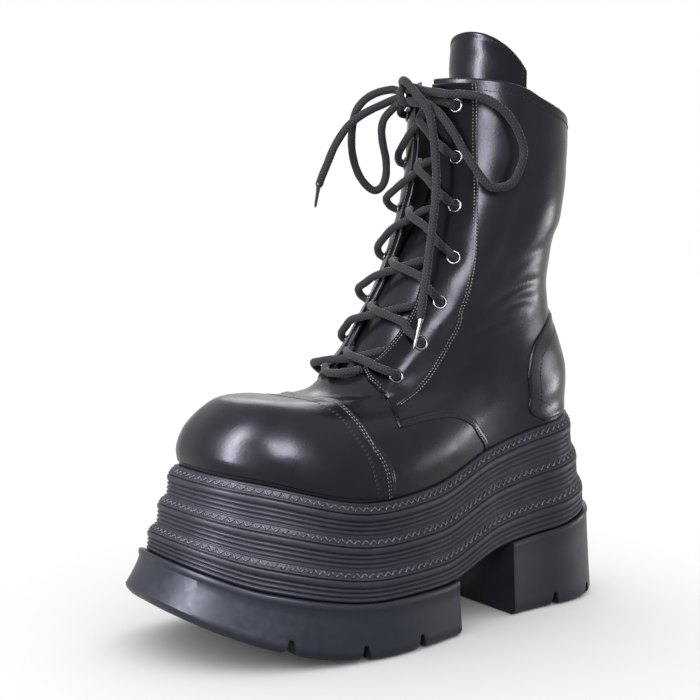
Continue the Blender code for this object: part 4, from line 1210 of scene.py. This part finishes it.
def line_through(stops, count):
    """Even places along a smooth line through places on the last."""
    stops = np.asarray(stops, float)
    smooth = smooth_route(np.column_stack([stops, np.zeros(len(stops))]), 200)
    run = distances(last_points(smooth[:, 0], smooth[:, 1]))
    where = np.linspace(0, run[-1], count)
    return np.interp(where, run, smooth[:, 0]), np.interp(where, run, smooth[:, 1])


def across_rows(u, left, right, count):
    """Places between two edges on each row, close together beside the edges."""
    rows = []
    for height, a, b in zip(u, left, right):
        span = np.linalg.norm(np.diff(last_points(height, np.linspace(a, b, 9)), axis=0), axis=1).sum()
        close = np.array([0, 0.0001, 0.0003, 0.0006, 0.0010]) / max(span, 0.003)
        inside = np.linspace(close[-1], 1 - close[-1], count + 2)[1:-1]
        rows.append(a + (b - a) * np.concatenate([close, inside, 1 - close[::-1]]))
    return np.array(rows)


def rounded_panel(name, u, w, thickness, radius=0.0009, sunk=0.0004):
    """A thin panel on the upper with turned edges; the thickness may differ over the grid."""
    u = np.broadcast_to(u, w.shape)
    skin = last_points(u, w)
    border = np.concatenate([fine_line(edge) for edge in (skin[0], skin[-1], skin[:, 0], skin[:, -1])])
    share = edge_share(skin, border, radius)
    outer = raised(u, w, -sunk + (thickness + sunk) * share)
    inner = raised(u, w, np.full(w.shape, -sunk - 0.0001))
    return wall_piece(name, outer, inner, LEATHER)


def stay_lines(side):
    """Front and back edge of an eyestay at each height."""
    column = 1 if side > 0 else 2
    u = np.concatenate([[0.236, 0.2364, 0.2372, 0.2385], np.linspace(0.242, THROAT_START, 70),
                        np.linspace(0.552, 0.985, 66), [0.9885, 0.9910, 0.9925, 0.9930]])
    low = table_line(EYESTAY_FRONT, column, np.minimum(u, THROAT_START - 0.0001))
    high = table_line(THROAT_EDGE, column, np.maximum(u, THROAT_BASE + 0.0001)) * throat_opening(u)
    blend = np.clip((u - THROAT_START) / THROAT_BLEND, 0, 1)
    front = np.where(u < THROAT_START, low, low * (1 - blend) + (high + BACK_FROM_THROAT) * blend)
    return u, front, table_line(EYESTAY_BACK, 1, u)


for name, node, side in (("eyestay_outer", "eyestay_lateral", 1), ("eyestay_inner", "eyestay_medial", -1)):
    u, front, rear = stay_lines(side)
    w = across_rows(u, front, rear, 22) if side > 0 else across_rows(u, -rear, -front, 22)
    place_across = np.clip((np.abs(w) - front[:, None]) / (rear - front)[:, None], 0, 1)
    thinning = np.clip((place_across - THIN_FROM) / (1 - THIN_FROM), 0, 1)
    thickness = OVERLAY - THINNED_BY * thinning**2 * (3 - 2 * thinning)
    seats = np.array(EYELETS)
    seats = last_points(seats[:, 0], side * seats[:, 1 if side > 0 else 2])
    grid = last_points(np.broadcast_to(u[:, None], w.shape), w)
    from_seat = np.linalg.norm(grid[:, :, None, :] - seats, axis=-1).min(-1)
    puff = 1 - np.exp(-(from_seat / SEAT_REACH) ** 2)
    thickness = thickness + PUFF * puff * np.sin(pi * place_across) ** 0.7
    stay = rounded_panel(name, u[:, None], w, thickness)
    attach(stay, "root")
    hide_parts(node)

u = np.concatenate([[0.012, 0.0135, 0.016], np.linspace(0.02, 0.458, 52), [0.4620, 0.4655, 0.4680, 0.4690]])
edge = table_line(COUNTER_EDGE, 1, u)
counter = rounded_panel("heel_counter_panel", u[:, None], across_rows(u, edge, 2 - edge, 60),
                        COUNTER_THICKNESS)
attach(counter, "root")
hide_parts("heel_counter")

u = np.concatenate([[0.012, 0.0135, 0.016], np.linspace(0.02, 0.445, 56), [0.4480, 0.4500, 0.4512, 0.4520]])
edge = table_line(TOE_CAP_EDGE, 1, u)
cap = rounded_panel("toe_cap_leather", u[:, None], across_rows(u, -edge, edge, 120), CAP_THICKNESS,
                    radius=0.0006)
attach(cap, "root")
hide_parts("toe_cap")

# Folded front edge of the vamp: the same leather, its edge turned under and stitched down. It
# lies over the toe cap from side to side.
half = [(0.004, 0.509), (0.084, 0.509), (0.150, 0.506), (0.210, 0.499), (0.272, 0.478), (0.344, 0.415),
        (0.402, 0.310), (0.440, 0.180)]
CAP_LINE = half + [(0.454, 0.0)] + [(u, -w) for u, w in half[::-1]]


def folded_strip(name, line, widths, heights):
    """A strip beside a line on the upper: full height at the line, thinning away from it."""
    grid = [shifted(*line, width) if width else line for width in widths]
    u = np.stack([g[0] for g in grid], 0)
    w = np.stack([g[1] for g in grid], 0)
    lift = np.array(heights)[:, None] * np.ones(u.shape)
    outer = raised(u, w, lift)
    inner = raised(u, w, np.full(u.shape, -0.0005))
    strip = wall_piece(name, outer, inner, LEATHER)
    face_outward(strip.data)
    strip.data.shade_smooth()
    return strip


FOLD_WIDTHS = (0, -0.0001, -0.0003, -0.0007, -0.0013, -0.0019,
               -0.0024, -0.0030, -0.0036, -0.0042, -0.0052, -0.0075)
FOLD_HEIGHTS = (-0.0002, 0.0006, 0.0009, 0.0011, 0.00112, 0.0009,
                0.00065, 0.0009, 0.0008, 0.0006, 0.0003, -0.0001)
cap_line = line_through(CAP_LINE, 210)
fold = folded_strip("vamp_front_fold", cap_line, FOLD_WIDTHS, FOLD_HEIGHTS)
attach(fold, "root")

# Folded lower edge of each quarter: the same leather again. It lies on the vamp, held by one row
# of stitches, and runs down to the platform.
WING_WIDTHS = (0, 0.0001, 0.0003, 0.0006, 0.0010, 0.0014, 0.0018, 0.0023, 0.0028, 0.0036, 0.0052)
WING_HEIGHTS = (-0.0002, 0.0004, 0.0006, 0.0007, 0.00068, 0.0005, 0.0003, 0.0004, 0.00035, 0.0002, -0.0001)
for name, node, side in (
    ("quarter_fold_outer", "vamp_seam_lateral", 1),
    ("quarter_fold_inner", "vamp_seam_medial", -1),
):
    u, w = line_through([(a, side * b) for a, b in WING_LINE], 70)
    fold = folded_strip(name, (u, w), [side * -width for width in WING_WIDTHS], WING_HEIGHTS)
    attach(fold, "root")
    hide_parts(node)

# Tongue: soft padded leather that follows the inside of the upper and stands above the collar
# in a half round. Its edge is turned and stitched once round, three millimetres in.
TONGUE_THICKNESS = 0.0025
TONGUE_RADIUS = 0.028
TONGUE_TOP = 0.334
TONGUE_REACH = radians(88)
TONGUE_CENTRE = UPPER_TOE + 0.8222 * UPPER_LENGTH
TONGUE_DROP = 0.023
TONGUE_TUCK = 0.004
TONGUE_BEND = 0.95
TONGUE_SHIFT = 0.03
TONGUE_FREE = 0.72

# Places up the last, with the tongue's half width round it, and its depth under the upper's wall
TONGUE_WIDTHS = ((0.5, 0.22), (0.6, 0.31), (1.0, 0.42))
TONGUE_DEPTHS = ((0.5, 0.0024), (0.56, 0.0024), (0.66, 0.0015))


def tongue_arc(height, share):
    """Row of the tongue above the laces: a half cylinder with its open side to the back."""
    angle = share * TONGUE_REACH
    x = TONGUE_RADIUS * np.sin(angle) - MIDDLE
    y = TONGUE_CENTRE - TONGUE_RADIUS * np.cos(angle)
    return np.stack([x, y, np.broadcast_to(height, x.shape)], -1)


def tongue_face(row, share):
    """Outer face of the tongue: row runs from 0.50 up the last to 1.0, then on to 2.0 at its top."""
    u = np.minimum(row, TONGUE_BEND)
    w = share * np.interp(u, *zip(*TONGUE_WIDTHS)) + TONGUE_SHIFT
    depth = UPPER_WALL + np.interp(u, *zip(*TONGUE_DEPTHS))
    base = last_points(np.full(w.shape, u), w)
    inside = base - depth * last_normals(np.full(w.shape, u), w)
    blend = np.clip((u - TONGUE_FREE) / (1 - TONGUE_FREE), 0, 1)
    blend = blend * blend * (3 - 2 * blend)
    low = inside * (1 - blend) + tongue_arc(inside[:, 2], share) * blend
    if row <= TONGUE_BEND:
        return low
    start = BALL_HEIGHT + UPPER_RISE - TONGUE_TUCK
    if row <= 1.0:
        s = (row - TONGUE_BEND) / 0.05
        return low * (1 - s) + tongue_arc(start, share) * s
    top = TONGUE_TOP - TONGUE_DROP * np.abs(share) ** 2.4
    return tongue_arc(start + (top - start) * (row - 1.0), share)


tongue_rows = np.concatenate([np.linspace(0.50, 0.95, 52), np.linspace(0.955, 1.0, 7)[1:],
                              np.linspace(1.03, 1.955, 28), [1.972, 1.984, 1.992, 1.997, 2.0]])
near = np.array([0, 0.002, 0.006, 0.012, 0.022])
share = np.concatenate([-1 + near, np.linspace(-0.96, 0.96, 60), 1 - near[::-1]])
face = np.array([tongue_face(row, share) for row in tongue_rows])
normal = np.cross(np.gradient(face, axis=1), np.gradient(face, axis=0))
normal /= np.linalg.norm(normal, axis=-1, keepdims=True)
rim = fine_line(np.concatenate([face[:, 0], face[-1], face[::-1, -1]]))
roundness = edge_share(face, rim, EDGE_ROUND)
from_rim = away_from(rim, face)
pad = 0.0004 * np.clip((from_rim - 0.0045) / 0.004, 0, 1)
pad = pad - 0.0003 * np.exp(-((from_rim - 0.0034) / 0.0007) ** 2)
ripple = 0.00035 * np.sin(face[..., 2] * 190 + 2.0 * np.sin(face[..., 0] * 60))
ripple = ripple * np.clip((from_rim - 0.004) / 0.01, 0, 1)
half = TONGUE_THICKNESS / 2
outer = face + normal * (-half + half * roundness + pad + ripple)[..., None]
inner = face + normal * (-half - half * roundness)[..., None]
tongue = wall_piece("tongue_leather", outer, inner, LEATHER, LINING)
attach(tongue, "root")
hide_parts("tongue")

# Stitching: black thread, sunk a little in the leather. On the eyestays and the vamp it is waxed and
# glossy, its lighter grey a painted sheen; elsewhere it is dull. The rows are double, but single on the
# collar, the tongue and the quarters' folds.
THREAD, tree, shader = new_finish("waxed_black_thread_painted_sheen", 0.38, 0.5)
wax_and_painted_sheen = noise(tree, object_place(tree), 700.0, 2.0)
# A grey lighter than black thread: painted sheen on the stitches, as well as their real gloss.
wire(tree, shader, two_tones(tree, wax_and_painted_sheen, (0.012, 0.012, 0.015), (0.032, 0.032, 0.037)),
     spread(tree, wax_and_painted_sheen, 0.3, 0.5), bump(tree, wax_and_painted_sheen, 0.0001, 0.5))

DULL_THREAD, tree, shader = new_finish("dull_black_thread", 0.55, 0.2)
fuzzy = noise(tree, object_place(tree), 900.0, 3.0)
wire(tree, shader, two_tones(tree, fuzzy, (0.0015, 0.0015, 0.0018), (0.0070, 0.0070, 0.0085)),
     spread(tree, fuzzy, 0.45, 0.7), bump(tree, fuzzy, 0.0001, 0.5))


STITCH_SECTION = np.array([0.45, 0.92, 1.0, 0.92, 0.45])
STITCH_BOW = 0.35


def stitches(route, rise, pitch, length, radius):
    """Short strands along a route, each bowed up a little from end to end."""
    run = distances(route)
    made = []
    s = np.linspace(-0.5, 0.5, len(STITCH_SECTION))
    for k in range(int(run[-1] / pitch)):
        where = (k + 0.5) * pitch + s * length
        up = read_at(where[2], run, rise)
        points = read_at(where, run, route) + up * (STITCH_BOW * radius * (1 - 8 * s**2))[:, None]
        made.append(strand(points, STITCH_SECTION * radius, 7))
    return made


def seam_on_last(stops, offsets, lift, pitch, length, radius, mirrored=False):
    """Stitches on the upper along a line through places, one row for each sideways offset."""
    made = []
    for sign in (1, -1) if mirrored else (1,):
        line = line_through([(u, sign * w) for u, w in stops], 90)
        for offset in offsets:
            u, w = shifted(*line, sign * offset) if offset else line
            route = raised(u, w, np.full(u.shape, lift))
            made += stitches(route, last_normals(u, w), pitch, length, radius)
    return made


def thread_piece(name, made, finish=THREAD):
    """All the stitches of one seam, as one piece."""
    piece = joined_piece(name, made, finish)
    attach(piece, "root")


STAY_ROWS = [
    (0.993, 0.243), (0.958, 0.248), (0.904, 0.256), (0.836, 0.294), (0.794, 0.332), (0.754, 0.382),
    (0.712, 0.436), (0.674, 0.480), (0.622, 0.522), (0.540, 0.538), (0.456, 0.538), (0.390, 0.530),
    (0.334, 0.5185),
]
thread_piece("eyestay_stitches", seam_on_last(STAY_ROWS, (-0.0009, 0.0009), lift=0.0007, pitch=0.0019,
                                              length=0.0013, radius=0.00042, mirrored=True))

# The eyestay's front edge has its own two rows, from the throat's foot to the collar.
EDGE_ROWS_FROM = 0.428
EDGE_ROWS_TO = 0.985
made = []
for side in (1, -1):
    u, front, rear = stay_lines(side)
    keep = (u > EDGE_ROWS_FROM) & (u < EDGE_ROWS_TO)
    line = (u[keep], side * front[keep])
    for offset in (0.0016, 0.0030):
        u, w = shifted(*line, side * offset)
        route = raised(u, w, np.full(u.shape, OVERLAY + 0.0001))
        made += stitches(route, last_normals(u, w), pitch=0.0019, length=0.0014, radius=0.00032)
thread_piece("eyestay_edge_stitches", made)

TOE_ROWS = [
    (0.006, 0.500), (0.104, 0.494), (0.170, 0.484), (0.228, 0.456), (0.286, 0.408), (0.336, 0.325),
    (0.385, 0.200), (0.412, 0.090), (0.420, 0.0),
]
TOE_ROWS += [(u, -w) for u, w in TOE_ROWS[-2::-1]]
thread_piece("toe_stitches", seam_on_last(TOE_ROWS, (0.0, 0.0011), lift=0.0004, pitch=0.0024,
                                          length=0.0016, radius=0.00028), DULL_THREAD)
thread_piece("vamp_stitches", seam_on_last(CAP_LINE, (-0.0022, -0.0036), lift=0.00070, pitch=0.0022,
                                           length=0.0015, radius=0.00028))
thread_piece("wing_stitches", seam_on_last(WING_LINE[1:], (-0.0018,), lift=0.00035, pitch=0.0022,
                                           length=0.0016, radius=0.00024, mirrored=True), DULL_THREAD)

COUNTER_ROWS = [
    (0.006, 0.635), (0.207, 0.636), (0.300, 0.655), (0.370, 0.690), (0.420, 0.760), (0.452, 0.860),
    (0.466, 0.960),
]
thread_piece("counter_stitches", seam_on_last(COUNTER_ROWS, (0.0024, 0.0095), lift=0.0011, pitch=0.0024,
                                              length=0.0017, radius=0.00026, mirrored=True), DULL_THREAD)

# The collar's row of stitches runs round under its edge, and the tongue's along its free edge.
EDGE_STITCH = {"pitch": 0.0025, "length": 0.0018, "radius": 0.00026}
COLLAR_ROW = 0.984
w = np.linspace(0.055, 1.94, 420)
u = np.full(w.shape, COLLAR_ROW)
route = raised(u, w, np.full(w.shape, 0.0001))
thread_piece("collar_stitches", stitches(route, last_normals(u, w), **EDGE_STITCH), DULL_THREAD)

rows = np.concatenate([np.linspace(1.06, 1.86, 24), [1.89, 1.905, 1.915]])
edges = [np.array([tongue_face(row, np.array([place]))[0] for row in rows]) for place in (-0.925, 0.925)]
crown = tongue_face(1.92, np.linspace(-0.90, 0.90, 60))
route = np.concatenate([edges[0], crown, edges[1][::-1]])
outward = route - np.array([-MIDDLE, TONGUE_CENTRE, 0])
outward[:, 2] = 0
outward /= np.linalg.norm(outward, axis=1, keepdims=True)
thread_piece("tongue_stitches", stitches(route - outward * 0.0001, outward, **EDGE_STITCH), DULL_THREAD)

# Eyelets: seven gunmetal rings on each side, pressed through the eyestay. Each is a thin rolled
# flange with its barrel through the leather, and the hole inside it is open for the lace.
RING_STEPS = 40
RING_LIFT = 0.0002
BORE_RADIUS = 0.00285

# Section of a ring: distance from its middle, and height above the eyestay
RING_SECTION = np.array((
    (0.00262, -0.0040), (0.00262, -0.0006), (0.00268, 0.0001), (0.00290, 0.00048), (0.00322, 0.00068),
    (0.00358, 0.00064), (0.00392, 0.00042), (0.00414, 0.00010), (0.00420, -0.00020), (0.00400, -0.00040),
    (0.00300, -0.00035), (0.00296, -0.0040),
))

GUNMETAL, tree, shader = new_finish("gunmetal_ring", 0.24, 0.5)
shader.inputs["Metallic"].default_value = 1.0
rub = noise(tree, object_place(tree), 300.0, 4.0)
wire(tree, shader, two_tones(tree, rub, (0.055, 0.055, 0.062), (0.15, 0.15, 0.16)),
     spread(tree, rub, 0.18, 0.34))


def seat_of(u, w, lift):
    """Middle and outward direction of a ring that lies on the eyestay."""
    u, w = np.array([u]), np.array([w])
    return raised(u, w, np.array([lift]))[0], last_normals(u, w)[0]


def ring_solid(middle, normal):
    """Points and faces of a ring: its section, carried round a circle about its middle."""
    turn_to = Vector(normal).to_track_quat("Z", "Y").to_matrix()
    angle = np.linspace(0, 2 * pi, RING_STEPS, endpoint=False)
    points = []
    for r, z in RING_SECTION:
        circle = np.stack([r * np.cos(angle), r * np.sin(angle), np.full(angle.shape, z)], -1)
        points.append(circle @ np.array(turn_to).T + middle)
    total = len(RING_SECTION) * RING_STEPS
    faces = []
    for low in range(0, total, RING_STEPS):
        for j in range(RING_STEPS):
            a, b = low + j, low + (j + 1) % RING_STEPS
            faces.append((a, b, (b + RING_STEPS) % total, (a + RING_STEPS) % total))
    return np.concatenate(points), faces


bores = []
for side, label in ((1, "outer"), (-1, "inner")):
    for k, row in enumerate(EYELETS):
        w = row[1] if side > 0 else -row[2]
        middle, normal = seat_of(row[0], w, OVERLAY + RING_LIFT)
        ring = joined_piece("eyelet_ring_%s_%d" % (label, k + 1), [ring_solid(middle, normal)], GUNMETAL)
        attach(ring, "root")
        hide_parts("eyelet_%s_%d" % ("lateral" if side > 0 else "medial", k + 1))
        route = middle + np.linspace(-0.0065, 0.0040, 2)[:, None] * normal
        bores.append((side, strand(route, np.full(2, BORE_RADIUS), 28)))

for target in (upper, bpy.data.objects["eyestay_outer"], bpy.data.objects["eyestay_inner"]):
    wanted = {"eyestay_outer": (1,), "eyestay_inner": (-1,)}.get(target.name, (1, -1))
    drill = joined_piece(target.name + "_drill", [bore for side, bore in bores if side in wanted], LEATHER)
    cut_away(target, [drill], "MANIFOLD")
    soften_edges(target, 60)

# Laces: the same woven cord, crossed over the tongue. Each strand comes out of an eyelet, turns
# over the edge of its eyestay, crosses the throat and goes in under the other eyestay.
OVER_LIFT = 0.0016
BENEATH_LIFT = -0.0010

# How far each strand stands out from the eyestay, on the outer side (1) and the inner one (-1)
OUT_OF_HOLE = {1: (0.0054, 0.0052, 0.0054, 0.0050, 0.0054, 0.0052),
               -1: (0.0082, 0.0056, 0.0088, 0.0070, 0.0096, 0.0062)}


def strand_stops(k, side, over):
    """Places, round the last and above it, of a strand from eyelet k to the next one across."""
    column, other = (1, 2) if side > 0 else (2, 1)
    u0, w0 = EYELETS[k][0], EYELETS[k][column]
    u1, w1 = EYELETS[k + 1][0], EYELETS[k + 1][other]
    near = float(table_line(THROAT_EDGE, column, np.array(max(u0, 0.56) * 0.55 + u1 * 0.45)))
    far = float(table_line(THROAT_EDGE, other, np.array(u1)))
    rise = OUT_OF_HOLE[side][k]
    step = u1 - u0
    return [
        (u0, w0, -0.0048),
        (u0, w0, -0.0015),
        (u0 - 0.01 * step, w0, 0.0022),
        (u0 + 0.04 * step, w0 - 0.10 * (w0 - near), 0.5 * rise + 0.0020),
        (u0 + 0.16 * step, w0 - 0.34 * (w0 - near), rise),
        (u0 + 0.34 * step, w0 - 0.68 * (w0 - near), 0.5 * (rise + 0.0048)),
        (u0 + 0.54 * step, near, 0.0044),
        (u0 + 0.76 * step, 0.5 * (near - far), 0.0022 + over),
        (u0 + 0.92 * step, -(far - 0.030), 0.0000),
        (u1, -(far + 0.030), -0.0040),
        (u1, -0.5 * (far + w1), -0.0046),
        (u1, -w1, -0.0048),
    ]


def lay_lace(name, stops, side, node, count=90):
    """A strand of lace through places on the upper: up it, round it and above it."""
    u, w, lift = (np.array(values) for values in zip(*stops))
    piece = lace_tube(name, smooth_route(raised(u, side * w, lift), count))
    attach(piece, "root")
    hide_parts(node)


for k in range(len(EYELETS) - 1):
    lay_lace("lace_over_%d" % (k + 1), strand_stops(k, 1, OVER_LIFT), 1, "lace_crossing_%d" % (k + 1))
    lay_lace("lace_beneath_%d" % (k + 1), strand_stops(k, -1, BENEATH_LIFT), -1, "lace_crossing_%d" % (k + 1))

BAR_STOPS = [
    (0.541, 0.185, 0.0026), (0.535, 0.125, 0.0033), (0.531, 0.07, 0.0033), (0.530, 0.0, 0.0032),
    (0.532, -0.06, 0.0033), (0.537, -0.10, 0.0034), (0.541, -0.150, 0.0026),
]
lay_lace("lace_bottom_bar", BAR_STOPS, 1, "lace_bar", 70)

lateral, medial = EYELETS[-1][1], EYELETS[-1][2]
TOP_STOPS = [
    (0.962, lateral, -0.0048), (0.962, lateral, -0.0015), (0.962, lateral, 0.0024),
    (0.963, 0.93 * lateral, 0.0048), (0.966, 0.78 * lateral, 0.0056), (0.970, 0.085, 0.0056),
    (0.975, 0.035, 0.0057), (0.977, -0.01, 0.0057), (0.975, -0.06, 0.0058),
    (0.969, -0.76 * medial, 0.0060), (0.963, -0.92 * medial, 0.0052), (0.962, -medial, 0.0024),
    (0.962, -medial, -0.0015), (0.962, -medial, -0.0048),
]
lay_lace("lace_top_strand", TOP_STOPS, 1, "lace_top", 110)

# Flags before the toe's lights leave the eyestays dark, as in the picture; a narrow beam
# reaches the eyestays alone.
eyestays = (bpy.data.objects["eyestay_outer"], bpy.data.objects["eyestay_inner"])
keep_off(toe_light, *eyestays)
keep_off(side_light, *eyestays, tongue)
for piece in eyestays:
    instep_light.light_linking.receiver_collection.objects.link(piece)
